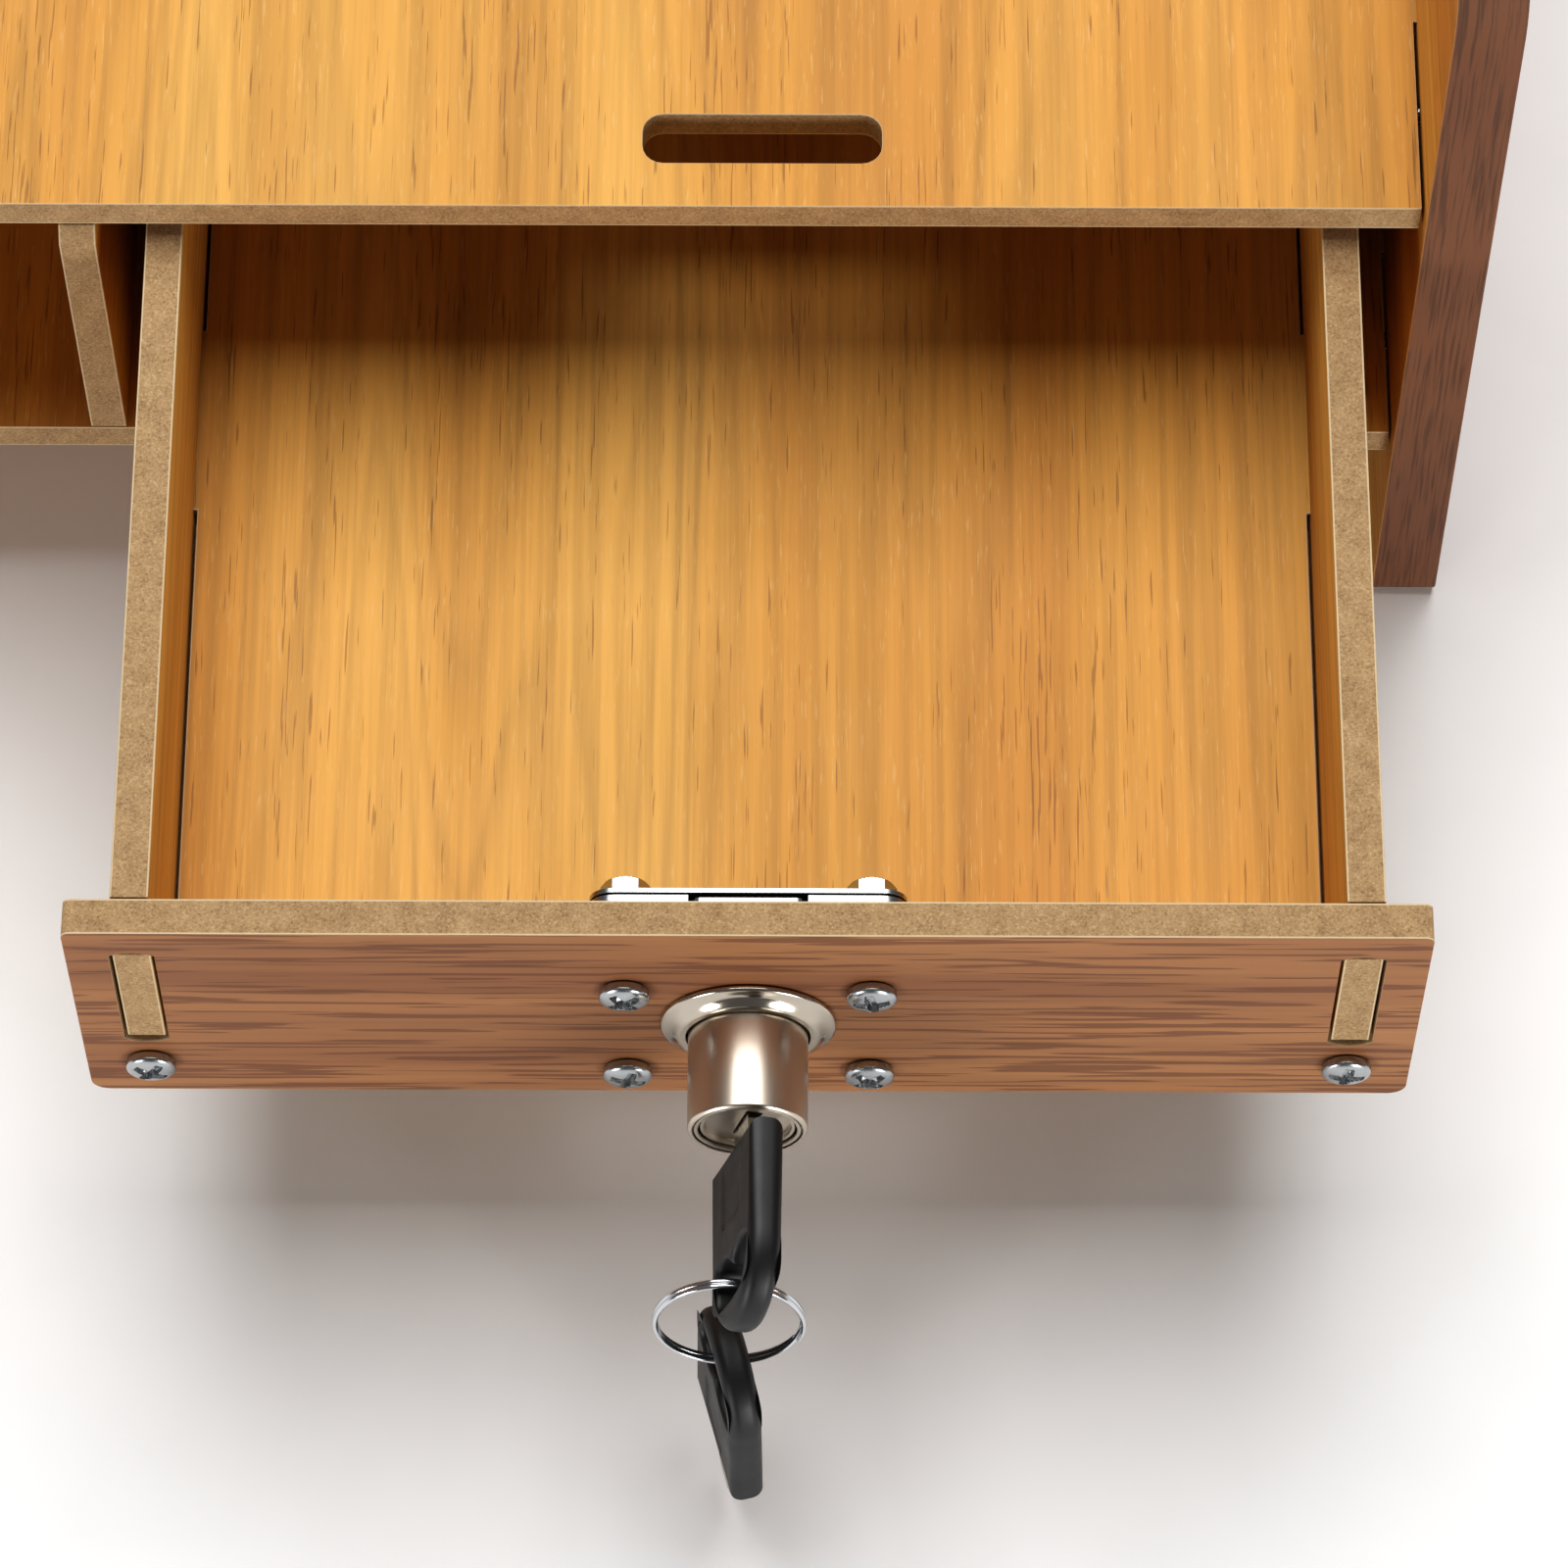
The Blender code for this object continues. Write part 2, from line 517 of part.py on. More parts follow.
def lock_case():
    """A shallow tray against the drawer front, open at the back, with a slot in its top for the tongue."""
    y = (DRAWER.y + GAP, DRAWER.y + GAP + CASE_DEPTH)
    case = prism("lock_case", case_outline(), y[0], y[1], "Y", ZINC)
    cut(case, prism("case_pocket", case_outline(CASE_WALL), y[0] + CASE_WALL, y[1] + 1 * MM, "Y", GUIDE))
    top = DRAWER.z + CASE_Z[1]
    half = TONGUE_WIDTH / 2 + GAP
    cut(case, box("case_slot", (DRAWER.x - half, DRAWER.x + half), (DRAWER.y + TONGUE_Y[0] - GAP, y[1] + 1 * MM),
                  (top - 2 * CASE_WALL, top + 1 * MM), GUIDE))
    hole(case, LOCK, BARREL_BORE, 6 * MM, (0, 1, 0))
    drill_for_screws(case, CASE_DEPTH)
    front = DRAWER.y + 2 * GAP + CASE_DEPTH
    cover = prism("lock_cover", case_outline(), front, front + COVER_THICKNESS, "Y", ZINC)
    drill_for_screws(cover, 2 * CASE_DEPTH)


def on_lock_axis(obj):
    """Puts a piece that was turned about +Z on the lock's axis, its +Z towards the drawer's back."""
    obj.matrix_world = Matrix.Translation(LOCK) @ along((0, 1, 0))
    return obj


def lock_barrel():
    edge = 0.8 * MM
    profile = [(BARREL_BORE, BARREL_FRONT), (BARREL_RADIUS - edge, BARREL_FRONT),
               (BARREL_RADIUS - 0.25 * edge, BARREL_FRONT + 0.25 * edge), (BARREL_RADIUS, BARREL_FRONT + edge),
               (BARREL_RADIUS, 0), (BARREL_BORE, 0)]
    on_lock_axis(lathe("lock_barrel", profile, NICKEL, 48))


def lock_rosette():
    """Conical ring that covers the hole in the drawer front."""
    base = -BOARD - GAP
    inner = BARREL_RADIUS + GAP
    profile = [(inner, base), (ROSETTE_RADIUS, base), (ROSETTE_RADIUS, base - 0.5 * MM),
               (ROSETTE_RADIUS - 1.6 * MM, base - 0.55 * ROSETTE_RISE), (inner + 0.9 * MM, base - ROSETTE_RISE),
               (inner, base - ROSETTE_RISE + 0.3 * MM)]
    on_lock_axis(lathe("lock_rosette", profile, NICKEL, 48))


def lock_plug():
    """The turning plug: a recessed face with a raised rim, and a keyway that is tilted with the key."""
    back = DRIVER_Y[0] - GAP
    profile = [(0, PLUG_FRONT + 0.8 * MM), (PLUG_RADIUS - PLUG_RIM, PLUG_FRONT + 0.8 * MM),
               (PLUG_RADIUS - PLUG_RIM, PLUG_FRONT), (PLUG_RADIUS, PLUG_FRONT), (PLUG_RADIUS, back), (0, back)]
    plug = on_lock_axis(lathe("lock_plug", profile, NICKEL, 48))
    keyway = box("keyway", (-BLADE_THICKNESS / 2 - GAP, BLADE_THICKNESS / 2 + GAP),
                 (PLUG_FRONT - 1 * MM, PLUG_FRONT + BLADE_LENGTH), (-BLADE_HEIGHT / 2 - GAP, BLADE_HEIGHT / 2 + GAP),
                 GUIDE)
    keyway.matrix_world = Matrix.Translation(LOCK) @ Matrix.Rotation(KEY_TILT, 4, "Y")
    cut(plug, keyway)


def pin_place():
    """x and z of the driving pin from the plug's axis. It is on the left, and rises as the key turns right."""
    angle = PIN_AT_UPRIGHT + KEY_TILT
    return -CRANK * cos(angle), CRANK * sin(angle)


def lock_driver():
    """Crank on the plug's tail: a hub, an arm that narrows towards its end, and the pin."""
    x, z = pin_place()
    towards = atan2(z, x)
    spread = acos((HUB_RADIUS - PIN_RADIUS) / CRANK)
    hub = [(HUB_RADIUS, towards + spread + (2 * pi - 2 * spread) * k / 20) for k in range(21)]
    end = [(PIN_RADIUS, towards - spread + 2 * spread * k / 8) for k in range(9)]
    outline = [(r * cos(a), r * sin(a)) for r, a in hub] + [(x + r * cos(a), z + r * sin(a)) for r, a in end]
    driver = prism("lock_driver", outline, DRIVER_Y[0], DRIVER_Y[1], "Y", ZINC)
    driver.matrix_world = Matrix.Translation(LOCK)
    pin = lathe("driver_pin", [(0, 0), (0.98 * PIN_RADIUS, 0), (0.98 * PIN_RADIUS, 1), (0, 1)], GUIDE, 16)
    low, high = DRIVER_Y[0] + 0.5 * MM, TONGUE_Y[1] - GAP
    pin.matrix_world = (Matrix.Translation(LOCK + Vector((x, low, z))) @ along((0, 1, 0))
                        @ Matrix.Diagonal((1, 1, high - low, 1)))
    cut(driver, pin)
    driver.modifiers[-1].operation = "UNION"


def lock_tongue():
    """The bolt that rises out of the case into the shelf's slot, with a fork on its left for the pin."""
    right, left = TONGUE_WIDTH / 2, -TONGUE_WIDTH / 2
    top, low = TONGUE_TOP - LOCK_Z, TONGUE_TOP - LOCK_Z - TONGUE_LENGTH
    tip = -CRANK - PIN_RADIUS - 0.4 * MM
    pin_x, pin_z = pin_place()
    up, down = pin_z + PIN_RADIUS + PIN_PLAY, pin_z - PIN_RADIUS - PIN_PLAY
    outline = [(right, top), (left, top), (left, up + FORK_DEPTH), (tip, up + FORK_DEPTH), (tip, up), (left, up),
               (left, down), (tip, down), (tip, low), (right, low)]
    radii = [1.5 * MM, 1.5 * MM] + [0] * 8
    tongue = prism("lock_tongue", rounded(outline, radii, 3), TONGUE_Y[0], TONGUE_Y[1], "Y", ZINC)
    tongue.matrix_world = Matrix.Translation(LOCK)


# ---------------------------------------------------------------- the keys and the ring

def bow_reach(angle):
    """Distance from the eye's centre to the bow's outline in this direction of the (u, v) plane."""
    du, dv = cos(angle), sin(angle)
    reach = []
    if du < -1e-9:
        reach.append((BOW_START - EYE_CENTRE) / du)
    if abs(dv) > 1e-9:
        reach.append(BOW_HALF / abs(dv))
    b = (EYE_CENTRE - BOW_ARC_CENTRE) * du
    c = (EYE_CENTRE - BOW_ARC_CENTRE) ** 2 - BOW_HALF ** 2
    arc = -b + sqrt(b * b - c)
    straight = min(reach) if reach else arc
    return arc if EYE_CENTRE + arc * du > BOW_ARC_CENTRE else straight


def eye_reach(angle):
    """The eye's outline: a rounded box of a shape, with a dent in the side that faces the shoulder."""
    du, dv = cos(angle), sin(angle)
    reach = (abs(du / EYE_HALF_U) ** 4 + abs(dv / EYE_HALF_V) ** 4) ** -0.25
    across = reach * dv / (3.2 * MM)
    return reach - (EYE_DENT * np.exp(-across * across) if du < 0 else 0)


def key_bow(name, place):
    """A moulded bow: its outline and its eye, both eased at the faces, in layers across its thickness."""
    corners = [atan2(side * BOW_HALF, BOW_START - EYE_CENTRE) for side in (-1, 1)]
    angles = sorted([2 * pi * k / 56 - pi for k in range(56)] + corners)
    half = BOW_THICKNESS / 2
    layers = [(-half, 1.0), (-half + 0.3 * BOW_CORNER, 0.3), (-half + BOW_CORNER, 0), (half - BOW_CORNER, 0),
              (half - 0.3 * BOW_CORNER, 0.3), (half, 1.0)]
    mesh = bmesh.new()
    rings = []
    for w, ease in layers:
        for reach, grow in ((bow_reach, -1), (eye_reach, 1)):
            away = [reach(a) + grow * ease * BOW_CORNER * (0.9 if grow < 0 else 0.6) for a in angles]
            rings.append([mesh.verts.new((w, -(EYE_CENTRE + r * cos(a)), r * sin(a)))
                          for a, r in zip(angles, away)])
    count = len(angles)
    walls = [(rings[k], rings[k + 2]) for k in range(len(rings) - 2)] + [(rings[0], rings[1]),
                                                                         (rings[-2], rings[-1])]
    for one, two in walls:
        for k in range(count):
            following = (k + 1) % count
            mesh.faces.new((one[k], one[following], two[following], two[k]))
    bow = finish(name, mesh, BLACK, smooth=True)
    bow.matrix_world = place
    return bow


def key_blade(name, place):
    """A flat blade with a shallow wavy cut, from inside the plug to the bow's shoulder."""
    start, half = -BOW_START + GAP, BLADE_HEIGHT / 2
    end = start + BLADE_LENGTH
    cuts = [(start + 3 * MM + i * 2 * MM, half - (0.9 * MM if i % 2 else 0.2 * MM)) for i in range(6)]
    outline = [(start, -half), (end - 1.5 * MM, -half), (end, -half + 2 * MM), (end, half - 2 * MM),
               (end - 1.5 * MM, half)] + list(reversed(cuts[:-1])) + [(start, half)]
    blade = prism(name, outline, -BLADE_THICKNESS / 2, BLADE_THICKNESS / 2, "X", ZINC)
    blade.matrix_world = place
    return blade


def key_frame():
    """The key in the lock: u towards -Y from the barrel's face, v up and tilted."""
    return Matrix.Translation(LOCK + Vector((0, BARREL_FRONT, 0))) @ Matrix.Rotation(KEY_TILT, 4, "Y")


def ring_pivot():
    """A point of the ring's sway axis, in the bow's lower rim."""
    return key_frame() @ Vector((0, -RING_U, RING_PIVOT_V))


def ring_top():
    """Centre of the ring's wire where it passes through the bow's eye."""
    return ring_pivot() + Vector((0, 0, RING_ABOVE_PIVOT))


def ring_bottom():
    """Centre of the ring's wire where the spare key hangs."""
    return ring_top() + 2 * RING_RADIUS * Vector((0, -sin(RING_TILT), -cos(RING_TILT)))


def key_ring():
    """Two turns of wire side by side, as one ring of oval section."""
    mesh = bmesh.new()
    section = [mesh.verts.new((RING_RADIUS + RING_WIRE * cos(2 * pi * k / 8), 0, 2 * RING_WIRE * sin(2 * pi * k / 8)))
               for k in range(8)]
    edges = [mesh.edges.new((section[k - 1], section[k])) for k in range(8)]
    bmesh.ops.spin(mesh, geom=section + edges, cent=(0, 0, 0), axis=(0, 0, 1), angle=2 * pi, steps=48,
                   use_merge=True)
    ring = finish("key_ring", mesh, NICKEL, smooth=True)
    centre = (ring_top() + ring_bottom()) / 2
    ring.matrix_world = Matrix.Translation(centre) @ Matrix.Rotation(pi / 2 - RING_TILT, 4, "X")
    return ring


def spare_frame():
    """The spare key hangs by its eye: u up, v towards the viewer, turned a little about the vertical."""
    shoulder = Vector((0, 0, EYE_ABOVE_WIRE - EYE_CENTRE - EYE_HALF_U))
    turn = Matrix.Rotation(-SPARE_LEAN, 4, "X") @ Matrix.Rotation(SPARE_YAW, 4, "Z")
    upright = Matrix.Translation(shoulder) @ Matrix.Rotation(-pi / 2, 4, "X")
    return Matrix.Translation(ring_bottom()) @ turn @ upright


def hang(name, place, pieces):
    """An empty on a joint's axis, as the parent of the pieces that turn about it."""
    pivot = bpy.data.objects.new(name, None)
    pivot.matrix_world = Matrix.Translation(place)
    bpy.context.scene.collection.objects.link(pivot)
    for piece in pieces:
        piece.parent = pivot
        piece.matrix_parent_inverse = Matrix.Translation(-place)


clear_scene()
LAMINATE = material("honey_laminate", (0.60, 0.31, 0.09), 0.45)
FRONT_LAMINATE = material("walnut_laminate", (0.30, 0.14, 0.08), 0.45)
NICKEL = material("satin_nickel", (0.62, 0.58, 0.53), 0.25, 1.0)
ZINC = material("zinc_plate", (0.75, 0.76, 0.78), 0.3, 1.0)
BLACK = material("black_plastic", (0.02, 0.02, 0.02), 0.45)
GUIDE = material("guide", (0.5, 0.5, 0.5), 0.5)

for hand in (-1, 1):
    side_panel(hand)
    drawer_side(hand)
shelf_board()
carcass_board("bottom_board", BOTTOM_Z, FRONT_LEAD)
divider()
back_panel()
drawer_front()
drawer_bottom()
drawer_back()
carcass_screws()
for side, label in ((-1, "left"), (1, "right")):
    pan_screw("front_screw_" + label, DRAWER + Vector((side * (SIDE_OUTER - BOARD / 2), -BOARD - GAP,
                                                        FRONT_SCREW_Z)), (0, -1, 0), WOOD_SCREW_RADIUS,
              WOOD_SCREW_LENGTH, 3 * MM)
lock_fasteners()
lock_case()
lock_barrel()
lock_rosette()
lock_plug()
lock_driver()
lock_tongue()
key_bow("key_bow", key_frame())
key_blade("key_blade", key_frame())
hang("ring_sway_axis", ring_pivot(), [key_ring()])
hang("spare_swing_axis", ring_bottom(), [key_bow("spare_key_bow", spare_frame()),
                                         key_blade("spare_key_blade", spare_frame())])
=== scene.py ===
# %% [markdown]
# # A desktop riser with a lockable drawer
# The riser is a small shelf for a desk: thin laminated boards slotted into two side panels, a
# cubby on the left and a drawer on the right. The drawer has a barrel lock with a key in it, and
# a spare key on a split ring. The frame below is the finished construction. This lesson makes
# what the eye meets: eased board edges, wood laminates, raw fibreboard, nickel and zinc, and the
# moulded keys.

# %% Load the frame
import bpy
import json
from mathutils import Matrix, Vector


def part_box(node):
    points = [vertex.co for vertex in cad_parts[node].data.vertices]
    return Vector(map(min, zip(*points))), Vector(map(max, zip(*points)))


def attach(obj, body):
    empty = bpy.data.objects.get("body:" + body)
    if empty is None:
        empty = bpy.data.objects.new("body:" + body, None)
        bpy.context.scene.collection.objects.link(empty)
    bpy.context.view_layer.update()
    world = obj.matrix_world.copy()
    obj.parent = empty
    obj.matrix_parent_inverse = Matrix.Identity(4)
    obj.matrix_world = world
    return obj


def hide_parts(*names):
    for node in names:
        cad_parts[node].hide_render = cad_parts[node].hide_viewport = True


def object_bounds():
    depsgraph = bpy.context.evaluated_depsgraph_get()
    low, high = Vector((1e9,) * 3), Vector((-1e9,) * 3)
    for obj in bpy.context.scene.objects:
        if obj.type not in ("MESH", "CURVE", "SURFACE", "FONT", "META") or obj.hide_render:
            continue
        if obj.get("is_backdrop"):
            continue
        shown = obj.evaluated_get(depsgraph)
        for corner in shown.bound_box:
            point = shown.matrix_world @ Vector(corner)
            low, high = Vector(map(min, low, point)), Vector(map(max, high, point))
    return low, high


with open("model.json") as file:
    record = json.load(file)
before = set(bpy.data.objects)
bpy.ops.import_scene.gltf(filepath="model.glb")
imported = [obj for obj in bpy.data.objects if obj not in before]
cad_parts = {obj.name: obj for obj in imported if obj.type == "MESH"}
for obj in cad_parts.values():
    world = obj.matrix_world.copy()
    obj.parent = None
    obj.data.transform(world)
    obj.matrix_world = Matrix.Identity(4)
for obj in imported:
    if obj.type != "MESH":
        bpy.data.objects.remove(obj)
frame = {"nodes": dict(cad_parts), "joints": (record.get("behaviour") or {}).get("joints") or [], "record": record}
cad_box = [list(map(float, corner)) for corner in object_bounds()]

import json
from math import cos, pi, radians, sin

import bmesh
import bpy
import numpy as np
from mathutils import Matrix, Vector

MM = 0.001


# %% [markdown]
# ## Measuring the frame
# Nothing is placed by eye. Each position is read from the box of a part of the frame, so that
# every new surface lies where the construction says. The lock's axis is the middle of its barrel,
# and the hinges of the ring and the spare key are stored with the frame's joints.

# %% Places
def box(node_name):
    """Lowest and highest corner of a part of the frame, as two arrays in metres."""
    low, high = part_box(node_name)
    return np.array(low), np.array(high)


def joint_place(joint_name):
    """The point that a joint of the frame turns about."""
    return np.array(next(j["pos_m"] for j in frame["joints"] if j["name"] == joint_name))


barrel_low, barrel_high = box("lock_barrel")
LOCK_AXIS = (barrel_low + barrel_high) / 2
BARREL_RADIUS = (barrel_high[0] - barrel_low[0]) / 2
print("lock axis at x, z:", LOCK_AXIS[[0, 2]].round(4), "barrel radius", round(BARREL_RADIUS, 4))


# %% [markdown]
# ## Colours and nodes
# Colours are written as the hex values that a paint chart would give, and one function turns them
# into the linear values that Blender's shaders expect. A material is a small graph, and one more
# function adds a node to it together with its settings, the sources of its inputs and, for a
# ramp, its colour stops.

# %% Colour and node helpers
def linear(hex_colour):
    """The sRGB curve undone: below 0.04045 a straight line, above it a power of 2.4."""
    srgb = np.array([int(hex_colour[k:k + 2], 16) / 255 for k in (1, 3, 5)])
    values = np.where(srgb <= 0.04045, srgb / 12.92, ((srgb + 0.055) / 1.055) ** 2.4)
    return (*values.tolist(), 1.0)


def add_node(tree, kind, sources=None, stops=None, out=0, **settings):
    """Adds one node and gives its output. Sources maps an input to a value or a node's output."""
    made = tree.nodes.new("ShaderNode" + kind)
    for key, value in settings.items():
        setattr(made, key, value)
    for key, value in (sources or {}).items():
        if isinstance(value, bpy.types.NodeSocket):
            tree.links.new(value, made.inputs[key])
        else:
            made.inputs[key].default_value = value
    # A new ramp has two ends, which are the first two stops. The others are added between them
    for k, (place, colour) in enumerate(stops or []):
        ramp = made.color_ramp.elements
        stop = ramp[k] if k < 2 else ramp.new(place)
        stop.position = place
        stop.color = linear(colour) if isinstance(colour, str) else (colour, colour, colour, 1)
    return made.outputs[out]


print("honey in linear light:", [round(v, 3) for v in linear("#D9A45A")])

# %% Starting and finishing a material
# A Mix node's input 0 is its factor, 2 and 3 are its numbers, 6 and 7 its colours. These are the
# settings of one that blends two colours, and of one that darkens the first with the second
BLEND = {"data_type": "RGBA", "blend_type": "MIX"}
DARKEN = {"data_type": "RGBA", "blend_type": "MULTIPLY"}
SURFACE_SOCKETS = ("Base Color", "Roughness", "Normal")


def start_material(name, **constants):
    """A material with its Principled shader, and the constants set on the shader's own sockets."""
    material = bpy.data.materials.new(name)
    material.use_nodes = True
    tree = material.node_tree
    shader = tree.nodes["Principled BSDF"]
    for key, value in constants.items():
        shader.inputs[key.replace("_", " ")].default_value = value
    point = add_node(tree, "TexCoord", out="Object")
    return material, tree, shader, point


def finish_surface(tree, shader, colour, rough, height, strength, depth):
    """Links colour and roughness to the shader, and height as a bump of this depth."""
    bump = add_node(tree, "Bump", {"Strength": strength, "Distance": depth, "Height": height})
    for socket, value in zip(SURFACE_SOCKETS, (colour, rough, bump)):
        tree.links.new(value, shader.inputs[socket])


print("a finished surface links:", ", ".join(SURFACE_SOCKETS))


# %% [markdown]
# ## Grain
# Printed wood grain is noise that has been stretched along the board: slow along the grain, quick
# across it. Each layer of the print gets its own stretch. The growth bands are some 50 mm wide,
# their dark lines follow the same bands, the fine figure is about 2 mm, and the pores are dashes
# 0.4 mm wide and a centimetre long. A scanned picture of wood has one fixed size, and breaks off
# at each cut. Noise in the board's own space runs right through it, so it does neither.

# %% Stretched noise
BANDS, FIGURE, PORES = 21, 420, 2300   # waves per metre, across the grain


def stretched_noise(tree, point, across, along, grain, shift=0.0, detail=3.0, rough=0.5, warp=0.0):
    """Noise with so many waves per metre across and along the grain, which runs on axis grain."""
    scale = [across] * 3
    scale[grain] = along
    away = (shift, 1.7 * shift, 0.6 * shift)   # far enough that no two boards share a pattern
    moved = add_node(tree, "Mapping", {0: point, "Location": away, "Scale": scale})
    return add_node(tree, "TexNoise", {"Vector": moved, "Scale": 1.0, "Detail": detail,
                                       "Roughness": rough, "Distortion": warp})


print("bands, figure and pores in mm:", [round(1000 / n, 1) for n in (BANDS, FIGURE, PORES)])


# %% [markdown]
# ## Honey laminate
# The boards are thin fibreboard with a melamine paper pressed onto both faces. The paper is
# printed like teak: honey yellow, with orange-brown growth bands, dark pores and short pale
# flecks. A textured press plate leaves the pores a little lower than the rest, so they catch the
# light, and the melamine over them is satin. One noise alone would look like smoke, so the print
# is built up as a printer builds it, in layers from broad to fine.

# %% Honey print
HONEY_TONES = [(0.32, "#9C571C"), (0.66, "#DFA84F"), (0.43, "#C1802E"), (0.54, "#D4973D")]


def honey_print(tree, point, grain, shift):
    """Colour and height of the honey print: bands, growth lines, figure, pores and pale flecks."""
    bands = stretched_noise(tree, point, BANDS, 1.4, grain, shift, 2.5, 0.45, 0.15)
    base = add_node(tree, "ValToRGB", {0: bands}, HONEY_TONES)
    line_count = add_node(tree, "Math", {0: bands, 1: 24.0}, operation="MULTIPLY")
    line_place = add_node(tree, "Math", {0: line_count}, operation="FRACT")
    lines = add_node(tree, "ValToRGB", {0: line_place}, [
        (0.0, 0.82), (0.40, 1.0), (0.80, 1.0), (1.0, 0.82)])
    figure = stretched_noise(tree, point, FIGURE, 6, grain, shift + 3, 5, 0.7)
    streaks = add_node(tree, "ValToRGB", {0: figure}, [(0.32, 0.70), (0.58, 1.0)])
    pores = stretched_noise(tree, point, PORES, 75, grain, shift + 7, 1, 0.5)
    clusters = stretched_noise(tree, point, 60, 12, grain, shift + 11, 2, 0.5)
    pores = add_node(tree, "Math", {0: clusters, 1: 0.3, 2: pores}, operation="MULTIPLY_ADD")
    pores = add_node(tree, "ValToRGB", {0: pores}, [(0.42, 0.5), (0.47, 0.0)])
    flecks = stretched_noise(tree, point, 3000, 170, grain, shift + 19, 2, 0.5)
    flecks = add_node(tree, "ValToRGB", {0: flecks}, [(0.63, 0.0), (0.70, 0.2)])
    colour = add_node(tree, "Mix", {0: 0.75, 6: base, 7: lines}, out=2, **DARKEN)
    colour = add_node(tree, "Mix", {0: 0.85, 6: colour, 7: streaks}, out=2, **DARKEN)
    colour = add_node(tree, "Mix", {0: pores, 6: colour, 7: linear("#6A3814")}, out=2, **BLEND)
    colour = add_node(tree, "Mix", {0: flecks, 6: colour, 7: linear("#EBCB90")}, out=2, **BLEND)
    return colour, add_node(tree, "Math", {0: 1.0, 1: pores}, operation="SUBTRACT")


print("honey tones:", ", ".join(tone for _, tone in HONEY_TONES))

# %% Walnut print
def walnut_print(tree, point, grain, shift):
    """Colour and height of the walnut print: a brown ground, and thin dark dashes in wavy lines."""
    ground = stretched_noise(tree, point, 60, 4, grain, shift, 3, 0.5, 0.4)
    base = add_node(tree, "ValToRGB", {0: ground}, [(0.32, "#8A5834"), (0.68, "#AE7A4C")])
    figure = stretched_noise(tree, point, FIGURE, 9, grain, shift + 5, 3, 0.6)
    streaks = add_node(tree, "ValToRGB", {0: figure}, [(0.33, 0.80), (0.60, 1.0)])
    dashes = stretched_noise(tree, point, 1000, 34, grain, shift + 9, 1, 0.5, 0.3)
    dashes = add_node(tree, "ValToRGB", {0: dashes}, [(0.40, 0.66), (0.45, 0.0)])
    colour = add_node(tree, "Mix", {0: 0.8, 6: base, 7: streaks}, out=2, **DARKEN)
    colour = add_node(tree, "Mix", {0: dashes, 6: colour, 7: linear("#5E3218")}, out=2, **BLEND)
    return colour, add_node(tree, "Math", {0: 1.0, 1: dashes}, operation="SUBTRACT")


def melamine_gloss(tree, point, shift):
    """Roughness of the pressed paper: satin, with smears a few centimetres wide."""
    smear = stretched_noise(tree, point, 45, 45, 0, shift, 3, 0.6)
    return add_node(tree, "MapRange", {0: smear, "To Min": 0.58, "To Max": 0.70})


PRINTS = {"honey": honey_print, "walnut": walnut_print}
print("prints:", ", ".join(PRINTS))


# %% [markdown]
# ## Raw fibreboard edge
# A router cut the boards to shape, and their edges were left raw. Medium-density fibreboard is
# pressed wood fibre, so the cut is tan with specks of darker and paler fibre a few tenths of a
# millimetre across, duller than the faces. The paper's own edge shows as a thin pale line along
# both arrises. Specks could be scattered one by one, but fine noise through a colour ramp gives
# them all at once, alike in every direction.

# %% Fibreboard
def fibre_cut(tree, point):
    """Colour and height of the cut edge: mottled tan, with dark and pale specks."""
    clouds = stretched_noise(tree, point, 260, 260, 0, 2, 3, 0.6)
    base = add_node(tree, "ValToRGB", {0: clouds}, [(0.32, "#8D6F4A"), (0.70, "#B2936A")])
    specks = stretched_noise(tree, point, 2400, 2400, 0, 5, 2, 0.7)
    tone = add_node(tree, "ValToRGB", {0: specks}, [
        (0.30, "#5E4228"), (0.72, "#E2C69C"), (0.42, "#A2825A"), (0.60, "#BA9B72")])
    return add_node(tree, "Mix", {0: 0.5, 6: base, 7: tone}, out=2, **BLEND), specks


print("fibre specks: 0.4 mm and finer")


# %% [markdown]
# ## One material for a whole board
# A board is one solid, yet it shows paper on its faces and fibre on its cuts. The material tells
# them apart by the direction a point faces: along the board's thickness it is a face, otherwise a
# cut. Within a quarter of a millimetre of a face, a cut shows the pale edge of the paper. Each
# face could have a material slot of its own, but then the walls of every slot and tab would have
# to be picked by hand.

# %% Board material
PAPER_LINE = 0.28 * MM   # drawn a little thicker than the 0.15 mm paper, so that it shows
FACE_LIMIT = 0.93        # on a face, the normal is within some 20 degrees of the axis
PRESS_DEPTH = 0.12 * MM  # relief that the press plate and the cutter leave


